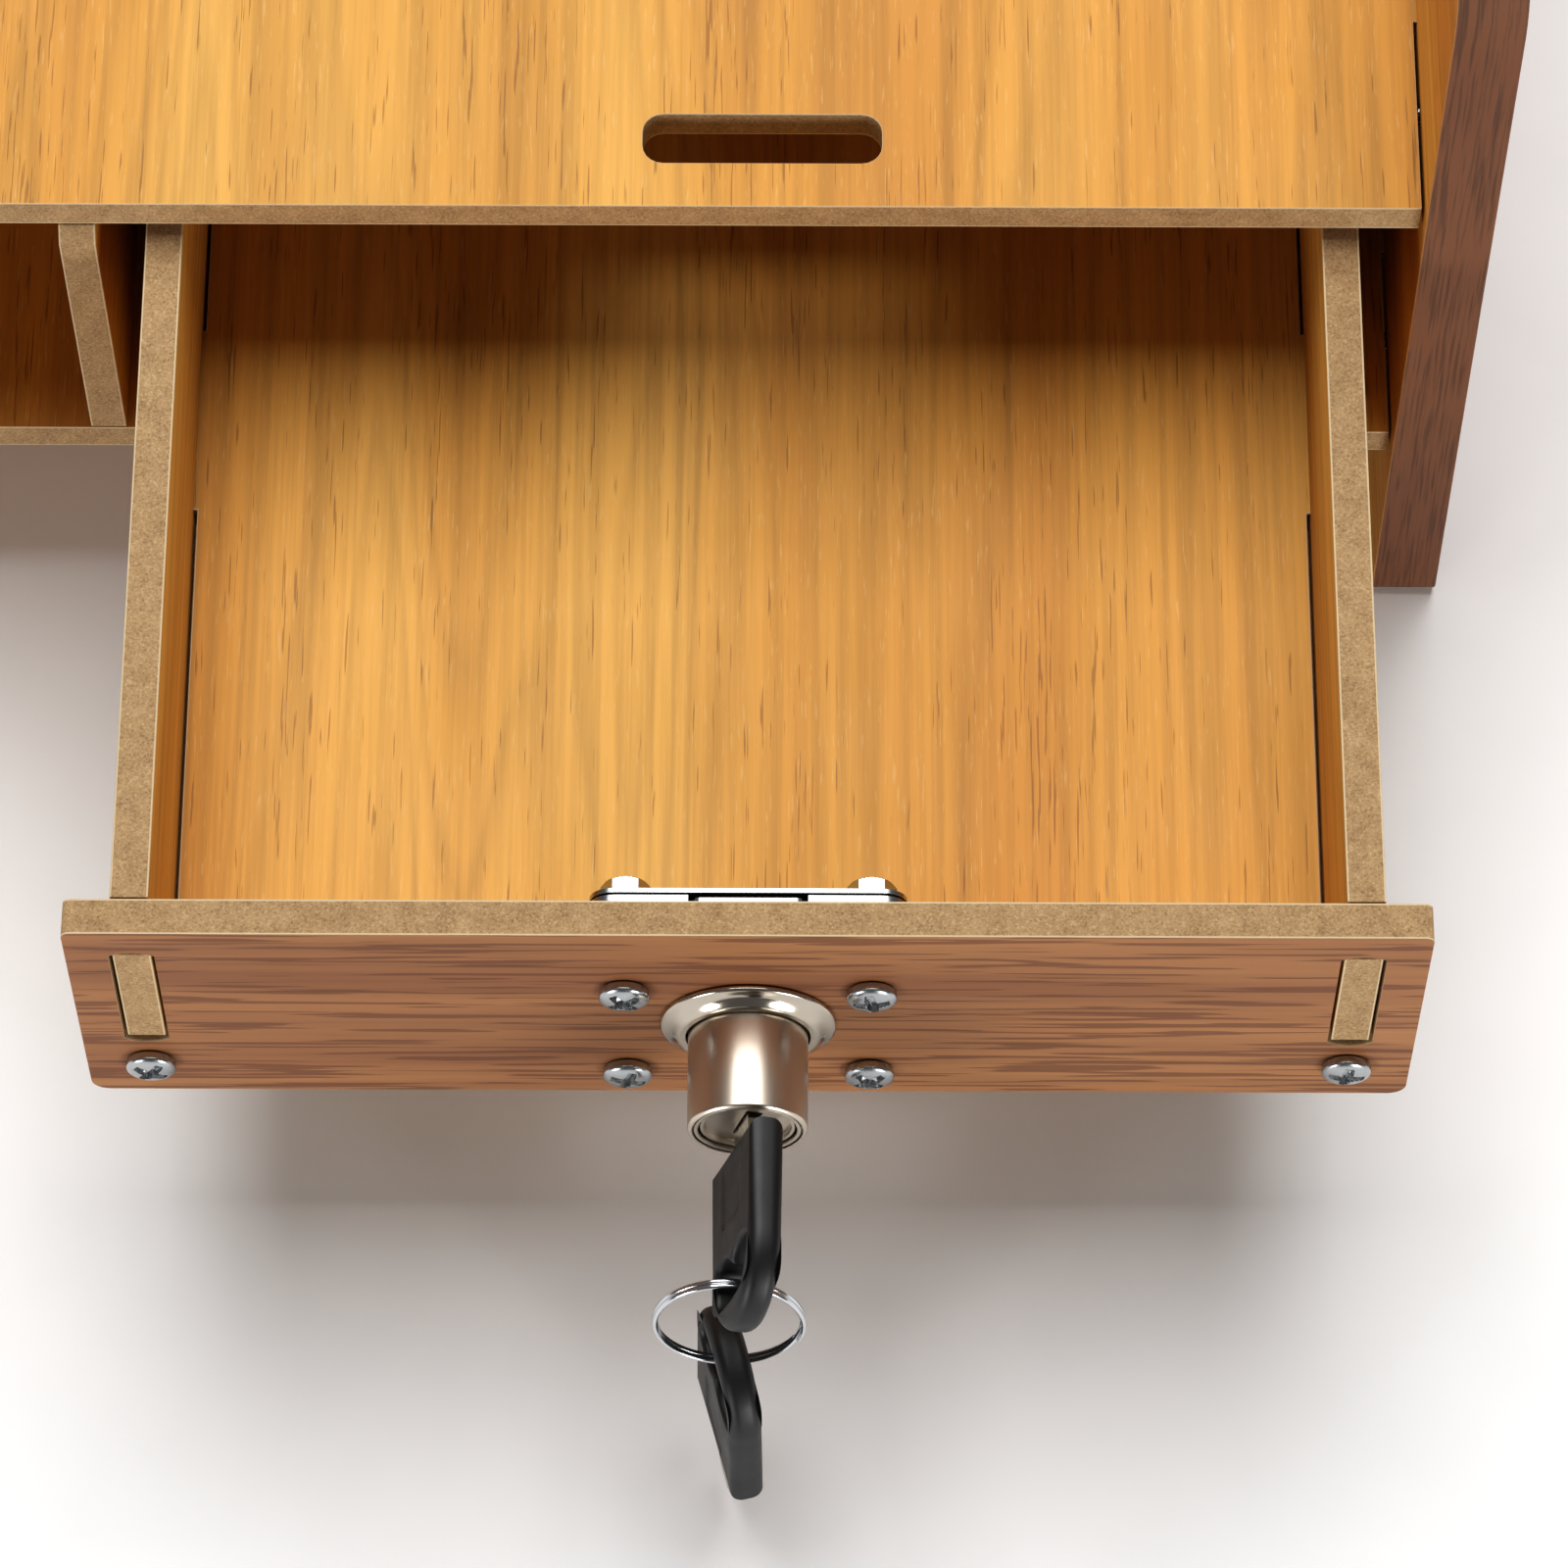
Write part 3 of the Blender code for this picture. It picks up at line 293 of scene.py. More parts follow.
def board_material(name, node_name, thick, grain, low_face, high_face, shift):
    """Laminate on the two faces across axis thick, fibre on the cuts, a pale line between them."""
    material, tree, shader, point = start_material(name, IOR=1.5)
    low, high = (float(corner[thick]) for corner in box(node_name))
    across = add_node(tree, "SeparateXYZ", {0: point}, out=thick)
    normals = add_node(tree, "NewGeometry", out="True Normal")
    facing = add_node(tree, "SeparateXYZ", {0: normals}, out=thick)
    # Compare gives 1 where its first value is no further from its second than its third
    on_cut = add_node(tree, "Math", {0: facing, 1: 0.0, 2: FACE_LIMIT}, operation="COMPARE")
    is_high = add_node(tree, "Math", {0: facing, 1: 0.0}, operation="GREATER_THAN")
    middle, half = (low + high) / 2, (high - low) / 2
    core = add_node(tree, "Math", {0: across, 1: middle, 2: half - PAPER_LINE}, operation="COMPARE")
    cut_colour, cut_height = fibre_cut(tree, point)
    paper = add_node(tree, "Mix", {0: 0.75, 6: cut_colour, 7: linear("#D8C6A4")}, out=2, **BLEND)
    cut_colour = add_node(tree, "Mix", {0: core, 6: paper, 7: cut_colour}, out=2, **BLEND)
    face_colour, face_height = PRINTS[high_face](tree, point, grain, shift)
    if low_face != high_face:
        colour, height = PRINTS[low_face](tree, point, grain, shift)
        face_colour = add_node(tree, "Mix", {0: is_high, 6: colour, 7: face_colour}, out=2, **BLEND)
        face_height = add_node(tree, "Mix", {0: is_high, 2: height, 3: face_height})
    colour = add_node(tree, "Mix", {0: on_cut, 6: face_colour, 7: cut_colour}, out=2, **BLEND)
    height = add_node(tree, "Mix", {0: on_cut, 2: face_height, 3: cut_height})
    rough = melamine_gloss(tree, point, shift)
    rough = add_node(tree, "Mix", {0: on_cut, 2: rough, 3: 0.85})
    finish_surface(tree, shader, colour, rough, height, 0.35, PRESS_DEPTH)
    return material


print("paper line:", round(PAPER_LINE / MM, 2), "mm")


# %% [markdown]
# ## Boards with eased edges
# A router leaves a crisp edge, and a pass of fine paper takes the sharpness off it, so each edge
# catches a hairline of light. The boards keep the frame's outlines: a copy of each is merged into
# one surface, its flat triangles are joined, and a bevel of a quarter millimetre runs along its
# sharp edges. The boards could be drawn again from their sizes, but their tabs and slots have to
# meet exactly, and a copy keeps them.


def stand_in(name, data, material, node_name):
    """Shows a mesh in place of a part of the frame, on the same body and with the given finish."""
    data.materials.append(material)
    piece = bpy.data.objects.new(name, data)
    bpy.context.scene.collection.objects.link(piece)
    bodies = frame["record"]["behaviour"]["bodies"]
    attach(piece, next(body for body, nodes in bodies.items() if node_name in nodes))
    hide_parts(node_name)
    return piece


def eased_copy(name, node_name, width, material, steps=2):
    """A copy of a part of the frame, its doubles merged and its sharp edges eased by this width."""
    mesh = bmesh.new()
    mesh.from_mesh(frame["nodes"][node_name].data)
    bmesh.ops.remove_doubles(mesh, verts=mesh.verts, dist=2e-6)
    bmesh.ops.dissolve_limit(mesh, angle_limit=radians(0.4), verts=mesh.verts, edges=mesh.edges)
    data = bpy.data.meshes.new(name)
    mesh.to_mesh(data)
    mesh.free()
    piece = stand_in(name, data, material, node_name)
    bevel = piece.modifiers.new("eased_edges", "BEVEL")
    bevel.width = width
    bevel.segments = steps
    bevel.limit_method = "ANGLE"
    bevel.angle_limit = radians(40)
    return piece


# %% Boards
EASED_EDGE = 0.22 * MM
# Each board: the axis across its thickness, its grain's axis, its low and high faces, and a shift
BOARDS = {
    "shelf_board": (2, 1, "honey", "honey", 0.0),
    "bottom_board": (2, 1, "honey", "honey", 31.0),
    "divider": (0, 1, "honey", "honey", 47.0),
    "back_panel": (1, 0, "honey", "honey", 59.0),
    "drawer_front": (1, 0, "walnut", "honey", 3.0),
    "drawer_bottom": (2, 1, "honey", "honey", 71.0),
    "drawer_side_left": (0, 1, "honey", "honey", 83.0),
    "drawer_side_right": (0, 1, "honey", "honey", 97.0),
    "drawer_back": (1, 0, "honey", "honey", 101.0)}
for board, (thick, grain, low_face, high_face, shift) in BOARDS.items():
    finish = board_material(board + "_laminate", board, thick, grain, low_face, high_face, shift)
    eased_copy(board + "_eased", board, EASED_EDGE, finish)
print("boards with eased edges:", len(BOARDS))


# %% [markdown]
# ## Side panels
# The two side panels are twice as thick. Their inner faces are honey like the shelf. Their outer
# faces and their cut edges are covered with walnut, whose streaks follow the edge all the way
# round, and a pale line shows where the covering meets the inner face. The place across the panel
# tells its faces apart here, not the direction, because its rounded corners face every way.

# %% Side panel material
FLUSH = 0.05 * MM   # a point this near a face's plane is on that face
COVER_LINE = 0.22 * MM   # the pale line where the covering ends


def panel_material(name, node_name, inner_is_low, shift):
    """Honey on the inner face, walnut on the outer face and round the edges."""
    material, tree, shader, point = start_material(name, IOR=1.5)
    low, high = (float(corner[0]) for corner in box(node_name))
    inner, outer = (low, high) if inner_is_low else (high, low)
    across = add_node(tree, "SeparateXYZ", {0: point})
    on_inner = add_node(tree, "Math", {0: across, 1: inner, 2: FLUSH}, operation="COMPARE")
    on_outer = add_node(tree, "Math", {0: across, 1: outer, 2: FLUSH}, operation="COMPARE")
    on_line = add_node(tree, "Math", {0: across, 1: inner, 2: COVER_LINE}, operation="COMPARE")
    honey, honey_height = honey_print(tree, point, 1, shift)
    face, face_height = walnut_print(tree, point, 1, shift)
    # Streaks that mostly change across the thickness run along every edge, whichever way it turns
    ground = stretched_noise(tree, point, 12, 12, 0, shift, 3, 0.5)
    base = add_node(tree, "ValToRGB", {0: ground}, [(0.30, "#643A22"), (0.70, "#835433")])
    fine = add_node(tree, "Mapping", {0: point, "Scale": (1900, 60, 60)})
    streak = add_node(tree, "TexNoise", {"Vector": fine, "Scale": 1.0, "Detail": 3.0})
    shade = add_node(tree, "ValToRGB", {0: streak}, [(0.36, 0.50), (0.52, 1.05)])
    edge = add_node(tree, "Mix", {0: 0.85, 6: base, 7: shade}, out=2, **DARKEN)
    edge = add_node(tree, "Mix", {0: on_line, 6: edge, 7: linear("#A8794C")}, out=2, **BLEND)
    colour = add_node(tree, "Mix", {0: on_outer, 6: edge, 7: face}, out=2, **BLEND)
    colour = add_node(tree, "Mix", {0: on_inner, 6: colour, 7: honey}, out=2, **BLEND)
    height = add_node(tree, "Mix", {0: on_outer, 2: streak, 3: face_height})
    height = add_node(tree, "Mix", {0: on_inner, 2: height, 3: honey_height})
    rough = melamine_gloss(tree, point, shift)
    finish_surface(tree, shader, colour, rough, height, 0.35, PRESS_DEPTH)
    return material


for panel, inner_is_low in (("side_panel_right", True), ("side_panel_left", False)):
    finish = panel_material(panel + "_covering", panel, inner_is_low, 7.0)
    eased_copy(panel + "_eased", panel, 0.9 * MM, finish, 3)
print("side panels: honey inside, walnut outside")


# %% [markdown]
# ## Metals
# Five metals meet at the lock. The barrel is turned brass, plated with satin nickel and wiped
# lengthwise, so faint marks run along it. The rosette is pressed and polished. Bolts, nuts and
# the case are steel with bright zinc plate, which is bluish and slightly cloudy. The split ring
# is hard polished spring wire, and the key blades are nickel silver, cut by a milling wheel. A
# metal shows little but what it reflects, so each one's character lies in its roughness, which
# varies in soft clouds as plating does.

# %% Metal materials
def metal(name, colour, cloud_colour, rough_low, rough_high, mark_scale, mark_depth):
    """Metal with clouds a centimetre wide in its colour and gloss, and fine marks in its skin."""
    material, tree, shader, point = start_material(name, Metallic=1.0)
    clouds = stretched_noise(tree, point, 90, 90, 0, 1, 2, 0.5)
    colours = {6: linear(colour), 7: linear(cloud_colour)}
    tint = add_node(tree, "Mix", {0: clouds, **colours}, out=2, **BLEND)
    drawn_out = add_node(tree, "Mapping", {0: point, "Scale": mark_scale})
    marks = add_node(tree, "TexNoise", {"Vector": drawn_out, "Scale": 1.0, "Detail": 4.0,
                                        "Roughness": 0.6})
    both = add_node(tree, "Math", {0: clouds, 1: marks}, operation="ADD")
    rough = add_node(tree, "MapRange", {0: both, "From Min": 0.6, "From Max": 1.4,
                                        "To Min": rough_low, "To Max": rough_high})
    finish_surface(tree, shader, tint, rough, marks, 0.25, mark_depth)
    return material


# Marks per metre along X, Y and Z, and their depth. The barrel's marks run along Y, so they change
# quickly across it and hardly at all along it
SATIN_NICKEL = metal("satin_nickel_on_turned_brass", "#CDC2B4", "#C6BBAC", 0.28, 0.36,
                     (2600, 60, 2600), 0.001 * MM)
POLISHED_NICKEL = metal("polished_nickel_on_pressed_brass", "#C6BDB0", "#B8AEA0", 0.08, 0.18,
                        (300, 300, 300), 0.01 * MM)
BRIGHT_ZINC = metal("bright_zinc_on_steel", "#BDBFC0", "#A2A5A8", 0.16, 0.32,
                    (1500, 1500, 1500), 0.008 * MM)
SPRING_WIRE = metal("polished_spring_steel_wire", "#D9DBDE", "#C4C7CB", 0.06, 0.16,
                    (400, 400, 400), 0.01 * MM)
KEY_NICKEL = metal("milled_nickel_silver", "#CFCBC0", "#B8B3A6", 0.22, 0.38,
                   (300, 300, 2600), 0.02 * MM)
METALS = (SATIN_NICKEL, POLISHED_NICKEL, BRIGHT_ZINC, SPRING_WIRE, KEY_NICKEL)
print("metals:", ", ".join(each.name for each in METALS))


# %% [markdown]
# ## Black moulded plastic
# The key bows are moulded in black nylon over the ends of the blades. The mould was spark eroded,
# which gives the plastic a fine matt grain of a few hundredths of a millimetre, and handling
# polishes it in soft patches. Pure black would hide the shape, so the colour stays just above it,
# and it is the gloss that changes.

# %% Plastic
def moulded_black(name):
    """Near black, with an eroded grain and patches of wear that are a little glossier."""
    material, tree, shader, point = start_material(name, IOR=1.5)
    # The real grain is 0.05 mm, drawn at 0.25 mm so that it shows
    grain = stretched_noise(tree, point, 4000, 4000, 0, 2, 2, 0.6)
    wear = stretched_noise(tree, point, 160, 160, 0, 9, 3, 0.6)
    colour = add_node(tree, "ValToRGB", {0: wear}, [(0.3, "#060607"), (0.7, "#0D0D0E")])
    rough = add_node(tree, "MapRange", {0: wear, "From Min": 0.3, "From Max": 0.7,
                                        "To Min": 0.52, "To Max": 0.42})
    finish_surface(tree, shader, colour, rough, grain, 0.3, 0.03 * MM)
    return material


BLACK_NYLON = moulded_black("black_nylon_eroded")
print("plastic:", BLACK_NYLON.name)


# %% [markdown]
# ## Surfaces from two parameters
# Every turned, threaded or moulded piece is a grid of points: one parameter runs along a profile,
# the other round it. The whole grid is computed as one array, the faces join neighbouring points,
# and rows that shrink to a point are merged into a pole. Ready-made cylinders and cut-outs are
# quicker to place, but they leave hard, uneven edges, where a profile can be rounded anywhere.

# %% Grid to piece
def piece_from_grid(name, grid, material, node_name, close_rows=False):
    """Grid is an array (rows, columns, 3). Columns join up, and so do rows if close_rows."""
    rows, columns = grid.shape[:2]
    index = np.arange(rows * columns).reshape(rows, columns)
    here = index if close_rows else index[:-1]
    below = np.roll(index, -1, axis=0) if close_rows else index[1:]
    faces = np.stack([here, np.roll(here, -1, axis=1), np.roll(below, -1, axis=1), below], axis=-1)
    data = bpy.data.meshes.new(name)
    data.from_pydata(grid.reshape(-1, 3).tolist(), [], faces.reshape(-1, 4).tolist())
    mesh = bmesh.new()
    mesh.from_mesh(data)
    bmesh.ops.remove_doubles(mesh, verts=mesh.verts, dist=1e-7)
    bmesh.ops.recalc_face_normals(mesh, faces=mesh.faces)
    mesh.to_mesh(data)
    mesh.free()
    data.shade_smooth()
    data.set_sharp_from_angle(angle=radians(38))
    stand_in(name, data, material, node_name)


# %% Profiles
def rounded_path(corners, radii, steps=5):
    """A profile with rounded corners: a quadratic curve joins two points at a radius from each."""
    points = []
    for k, (corner, radius) in enumerate(zip(corners, radii)):
        here = np.array(corner, float)
        if radius == 0 or k in (0, len(corners) - 1):
            points.append(here)
            continue
        before = np.array(corners[k - 1]) - here
        after = np.array(corners[k + 1]) - here
        start = here + radius * before / np.linalg.norm(before)
        end = here + radius * after / np.linalg.norm(after)
        t = np.linspace(0, 1, steps + 1)[:, None]
        points.extend((1 - t) ** 2 * start + 2 * t * (1 - t) * here + t ** 2 * end)
    return np.array(points)


def turned_grid(profile, columns, centre):
    """Profile rows are (radius, Y). Each goes round the centre as radius cos, Y, radius sin."""
    angle = np.linspace(0, 2 * pi, columns, endpoint=False)
    radius, along = profile[:, :1], np.repeat(profile[:, 1:2], columns, axis=1)
    return np.stack([radius * np.cos(angle), along, radius * np.sin(angle)], axis=-1) + centre


print("a double cone's grid:", turned_grid(np.array([[0, -1.0], [1, 0], [0, 1]]), 4, 0).shape)


# %% [markdown]
# ## Lock barrel and rosette
# The barrel is a turned tube that stands out of the drawer front, with a chamfered lip round its
# mouth, then a narrow groove and a thin bright ring round the bore. The rosette is a ring pressed
# into a shallow cone, polished, with a rolled outer edge. Both are profiles turned about the
# lock's axis, and every corner has a small radius, because that is where turned metal shines.

# %% Barrel
def on_axis(y=0.0):
    """The point of the lock's axis at this Y."""
    return np.array([LOCK_AXIS[0], y, LOCK_AXIS[2]])


plug_low, plug_high = box("lock_plug")
BORE = (plug_high[0] - plug_low[0]) / 2 + 0.3 * MM
mouth, barrel_back = barrel_low[1], barrel_high[1]
RIM, CHAMFER, GROOVE, GROOVE_DEPTH, EASE = 0.8 * MM, 0.4 * MM, 0.3 * MM, 1.0 * MM, 0.08 * MM
rim_edge = BARREL_RADIUS - RIM
profile = rounded_path([
    (BORE, barrel_back), (BORE, mouth + 2 * EASE), (rim_edge - GROOVE, mouth + 2 * EASE),
    (rim_edge - GROOVE, mouth + GROOVE_DEPTH), (rim_edge, mouth + GROOVE_DEPTH), (rim_edge, mouth),
    (BARREL_RADIUS - CHAMFER, mouth), (BARREL_RADIUS, mouth + CHAMFER),
    (BARREL_RADIUS, barrel_back), (BORE, barrel_back)],
    [0, EASE, EASE, 0, 0, EASE, 2 * EASE, 2 * EASE, EASE, 0])
turned = turned_grid(profile, 128, on_axis())
piece_from_grid("lock_barrel_turned", turned, SATIN_NICKEL, "lock_barrel")
print("barrel is", round((barrel_back - mouth) / MM, 1), "mm long")

# %% Rosette
ring_low, ring_high = box("lock_rosette")
outer = (ring_high[0] - ring_low[0]) / 2
inner = BARREL_RADIUS + 0.3 * MM
front, back = ring_low[1], ring_high[1]
shallow = front + 0.48 * (back - front)   # where the cone turns flatter
profile = rounded_path([
    (inner, back), (inner, front), (inner + 1.3 * MM, front), (outer - 1.6 * MM, shallow),
    (outer - 0.05 * MM, back - 0.7 * MM), (outer, back), (inner, back)],
    [0, 0.3 * MM, 0.5 * MM, 0.8 * MM, 0.4 * MM, 0.1 * MM, 0], 6)
turned = turned_grid(profile, 128, on_axis())
piece_from_grid("lock_rosette_pressed", turned, POLISHED_NICKEL, "lock_rosette")
print("barrel stands out of the rosette by", round((ring_low[1] - mouth) / MM, 1), "mm")


# %% [markdown]
# ## Screws
# The bolts and wood screws have domed pan heads with a cross recess. The head is a polar grid
# whose height is the dome less a smooth cross: the recess is deepest at the middle and its walls
# slope, as a punched one's do. The thread is the same grid carried down the shank, with the
# radius following a helix. A cross cut out with a boolean would leave long thin faces that shade
# badly, so the height itself holds it.

# %% Cross recess
RECESS_WALL, RECESS_END = 0.20 * MM, 0.40 * MM   # how wide the sloping walls and ends are


def cross_depth(x, y, arm, half_width):
    """Depth of the cross recess, 0 outside it to 1: smooth walls, shallower towards its ends."""
    wide, narrow = np.maximum(abs(x), abs(y)), np.minimum(abs(x), abs(y))
    wall = np.clip((half_width * (1.35 - 0.5 * wide / arm) - narrow) / RECESS_WALL, 0, 1)
    end = np.clip((arm - wide) / RECESS_END, 0, 1)
    return wall * wall * (3 - 2 * wall) * end * (1 - 0.35 * wide / arm)


def thread_wave(along, angle, pitch):
    """1 on the thread's crest and 0 in its root. The crest moves one pitch along in each turn."""
    return abs(((along / pitch - angle / (2 * pi)) % 1) * 2 - 1)


depths = cross_depth(np.arange(3) * MM, 0, 2.5 * MM, 0.7 * MM)
print("recess at 0, 1 and 2 mm from the middle:", depths.round(2))

# %% Pan-head screw
HEAD, HEAD_RECESS = 2.4 * MM, 1.7 * MM
SHARP_TIP = 1.2 * MM   # the shank narrows over this length


def pan_screw(name, node_name, shank, pitch, thread_length, turn):
    """Domed head with a cross recess, plain shank, then a thread whose crest is a helix."""
    low, high = box(node_name)
    centre, radius = (low + high) / 2, (high[0] - low[0]) / 2
    angle = np.linspace(0, 2 * pi, 96, endpoint=False)
    whole_turn = np.ones_like(angle)
    # Head: rows from the middle of the dome to its rim, a quarter of an ellipse
    quarter = np.linspace(0, pi / 2, 34)[:, None]
    r = radius * np.sin(quarter)
    x, y = r * np.cos(angle + turn), r * np.sin(angle + turn)
    recess = cross_depth(x, y, 0.72 * radius, 0.19 * radius)
    height = HEAD * (0.45 + 0.55 * np.cos(quarter)) - HEAD_RECESS * recess
    # The rounded rim under the dome: share of the radius, and depth as a share of the head
    rim = np.array([[1.0, 0.62], [1.0, 0.85], [0.985, 0.97], [0.95, 1.0]])
    tip = high[1]
    start = tip - thread_length
    along = np.linspace(start, tip - 0.4 * MM, int(thread_length / pitch * 8))[:, None]
    taper = np.clip((tip - along) / SHARP_TIP, 0.35, 1)
    fade = np.clip((along - start) / pitch, 0, 1)
    thread = shank * taper - 0.32 * pitch * (1 - thread_wave(along, angle, pitch)) * fade
    radii = np.concatenate([
        r * whole_turn, radius * rim[:, :1] * whole_turn, [shank * whole_turn] * 2, thread,
        [0 * whole_turn]])
    below = np.concatenate([low[1] + HEAD * rim[:, 1:], [[low[1] + HEAD], [start]], along, [[tip]]])
    places = np.concatenate([low[1] + HEAD - height, below * whole_turn])
    grid = np.stack([radii * np.cos(angle), places, radii * np.sin(angle)], axis=-1)
    piece_from_grid(name, grid + (centre[0], 0, centre[2]), BRIGHT_ZINC, node_name)


for k in range(1, 5):
    pan_screw(f"lock_bolt_{k}", f"lock_screw_{k}", 2.0 * MM, 0.7 * MM, 9 * MM, 0.4 + 0.5 * k)
for hand, turn in (("left", 0.6), ("right", 0.15)):
    pan_screw(f"corner_screw_{hand}", f"front_screw_{hand}", 1.5 * MM, 1.3 * MM, 18 * MM, turn)
print("pan-head screws: 6, heads", round(HEAD / MM, 1), "mm high")


# %% [markdown]
# ## Countersunk screws
# The side panels are screwed to the ends of the boards. Their heads are flat, sunk flush with the
# walnut, with the same cross recess. They lie along X, so the grid is the head's disc, its cone
# and the shank. A cone with a bevel would do for the shape, but without the recess it wouldn't
# read as a screw.

# %% Countersunk screw
NECK, SUNK_RECESS, WOOD_PITCH = 1.5 * MM, 1.3 * MM, 1.3 * MM
CONE = 1.9 * MM   # depth of the countersunk head


def sunk_screw(name, node_name):
    """Flat head with a cross recess, a cone below it, and a threaded shank, all along X."""
    low, high = box(node_name)
    centre, radius = (low + high) / 2, (high[2] - low[2]) / 2
    outward = 1 if centre[0] > 0 else -1
    top, tip = (high[0], low[0]) if outward > 0 else (low[0], high[0])
    length = abs(top - tip)
    angle = np.linspace(0, 2 * pi, 72, endpoint=False)
    whole_turn = np.ones_like(angle)
    r = radius * np.linspace(0, 1, 22)[:, None] * whole_turn
    x, y = r * np.cos(angle + 0.5), r * np.sin(angle + 0.5)
    recess = cross_depth(x, y, 0.62 * radius, 0.14 * radius)
    along = np.linspace(CONE, length - 0.3 * MM, 90)[:, None]
    thread = 0.28 * MM * (1 - thread_wave(along, angle, WOOD_PITCH))
    shank = NECK * np.clip((length - along) / (3 * MM), 0.1, 1) - thread
    radii = np.concatenate([r, np.maximum(shank, 0.1 * MM), [0 * whole_turn]])
    depths = np.concatenate([SUNK_RECESS * recess, along * whole_turn, [length * whole_turn]])
    grid = np.stack([top - outward * depths, centre[1] + radii * np.cos(angle),
                     centre[2] + radii * np.sin(angle)], axis=-1)
    piece_from_grid(name, grid, BRIGHT_ZINC, node_name)


for k in range(1, 9):
    sunk_screw(f"countersunk_screw_{k}", f"side_screw_{k}")
print("countersunk screws: 8, with", round(CONE / MM, 1), "mm cones")


# %% [markdown]
# ## Nuts and washers
# A hexagon nut is a hexagonal bar whose corners were turned off at about 30 degrees, which leaves
# curved edges on its flats. The grid does the same: at each height the radius is the smaller of
# the hexagon's and the chamfer cone's. The washers are punched discs with a rounded upper edge. A
# six-sided cylinder with a bevel would have straight edges there.

# %% Nuts and washers
NUT_BORE, LIP = 2.3 * MM, 0.35 * MM   # radius of the bore, and the bevel at each end of it
CONE_SLOPE = 1.73   # a chamfer at 30 degrees goes this far out for 1 up


def hex_nut(name, node_name):
    """Radius is the smaller of the hexagon and a cone that opens at 30 degrees from each end."""
    low, high = box(node_name)
    centre, flats, height = (low + high) / 2, high[2] - low[2], high[1] - low[1]
    angle = np.linspace(0, 2 * pi, 144, endpoint=False)
    whole_turn = np.ones_like(angle)
    hexagon = flats / 2 / np.cos(angle % (pi / 3) - pi / 6)
    ease = np.linspace(0, 0.75 * MM, 10)
    levels = np.concatenate([ease, height - ease[::-1]])[:, None]
    from_end = np.minimum(levels, height - levels)
    outside = np.minimum(hexagon, 0.96 * flats / 2 + CONE_SLOPE * from_end)
    lip = (NUT_BORE + LIP) * whole_turn[None]
    bore = NUT_BORE * whole_turn[None]
    radii = np.concatenate([lip, outside, lip, bore, bore])
    levels = np.concatenate([[[0.0]], levels, [[height], [height - LIP], [LIP]]])
    grid = np.stack([radii * np.cos(angle), levels * whole_turn, radii * np.sin(angle)], axis=-1)
    grid = grid + (centre[0], low[1], centre[2])
    piece_from_grid(name, grid, BRIGHT_ZINC, node_name, close_rows=True)


def punched_washer(name, node_name):
    """A flat ring: the punch rounds the edge on one side more than on the other."""
    low, high = box(node_name)
    centre, radius = (low + high) / 2, (high[0] - low[0]) / 2
    start = (NUT_BORE, low[1])
    profile = rounded_path([start, (radius, low[1]), (radius, high[1]), (NUT_BORE, high[1]), start],
                           [0, 0.1 * MM, 0.3 * MM, 0.1 * MM, 0])
    grid = turned_grid(profile, 64, np.array([centre[0], 0, centre[2]]))
    piece_from_grid(name, grid, BRIGHT_ZINC, node_name)


for k in range(1, 5):
    hex_nut(f"hexagon_nut_{k}", f"lock_nut_{k}")
    punched_washer(f"punched_washer_{k}", f"lock_washer_{k}")
print("nuts and washers: 8, bored to", round(2 * NUT_BORE / MM, 1), "mm")


# %% [markdown]
# ## Lock case, cover, tongue and crank
# The case is a pressed steel tray behind the drawer front, closed by a cover plate. Inside, the
# plug's crank carries a pin that lifts the tongue. All are flat stampings with rounded shear
# edges, so they take the frame's outline and a fine bevel. So does the plug, the part that the
# key turns: its face is sunk in a thin rim, with the keyway across it. Their shapes are right in
# the frame already, so nothing is made again.

# %% Stampings and plug
STAMPINGS = {  # each with the radius of its edges in mm, and its metal
    "lock_case": (0.3, BRIGHT_ZINC), "lock_cover": (0.25, BRIGHT_ZINC),
    "lock_tongue": (0.3, BRIGHT_ZINC), "lock_driver": (0.15, BRIGHT_ZINC),
    "lock_plug": (0.12, SATIN_NICKEL)}
for stamping, (ease, finish) in STAMPINGS.items():
    piece = eased_copy(stamping + "_eased", stamping, ease * MM, finish, 3)
    piece.data.shade_smooth()
    piece.data.set_sharp_from_angle(angle=radians(30))
print("stampings and plug:", ", ".join(STAMPINGS))


# %% [markdown]
# ## Key bows
# A bow is a flat handle with a straight shoulder, parallel sides and a round end, and an eye
# shaped like a bean. Its section goes round from the outer wall over a rounded edge to the face,
# down into the eye and back. The two parameters are the direction seen from the eye's middle and
# the way round that section. A sunk panel on each face stands where makers put their mark, and it
# is left plain. An outline pushed up and bevelled would give a plain handle, but one closed
# surface also carries the panel and the eye's softer edge.

# %% Bow outline and eye
BOW_HALF, BOW_THICK, BOW_EDGE = 11.95 * MM, 5.4 * MM, 2.0 * MM
SHOULDER, ARC_CENTRE = 2.7 * MM, 21.1 * MM   # both measured from the lock's mouth
EYE_CENTRE, EYE_LONG, EYE_SHORT = 24.3 * MM, 9.3 * MM, 4.1 * MM
EYE_DENT, DENT_WIDTH = 2.6 * MM, 3.2 * MM


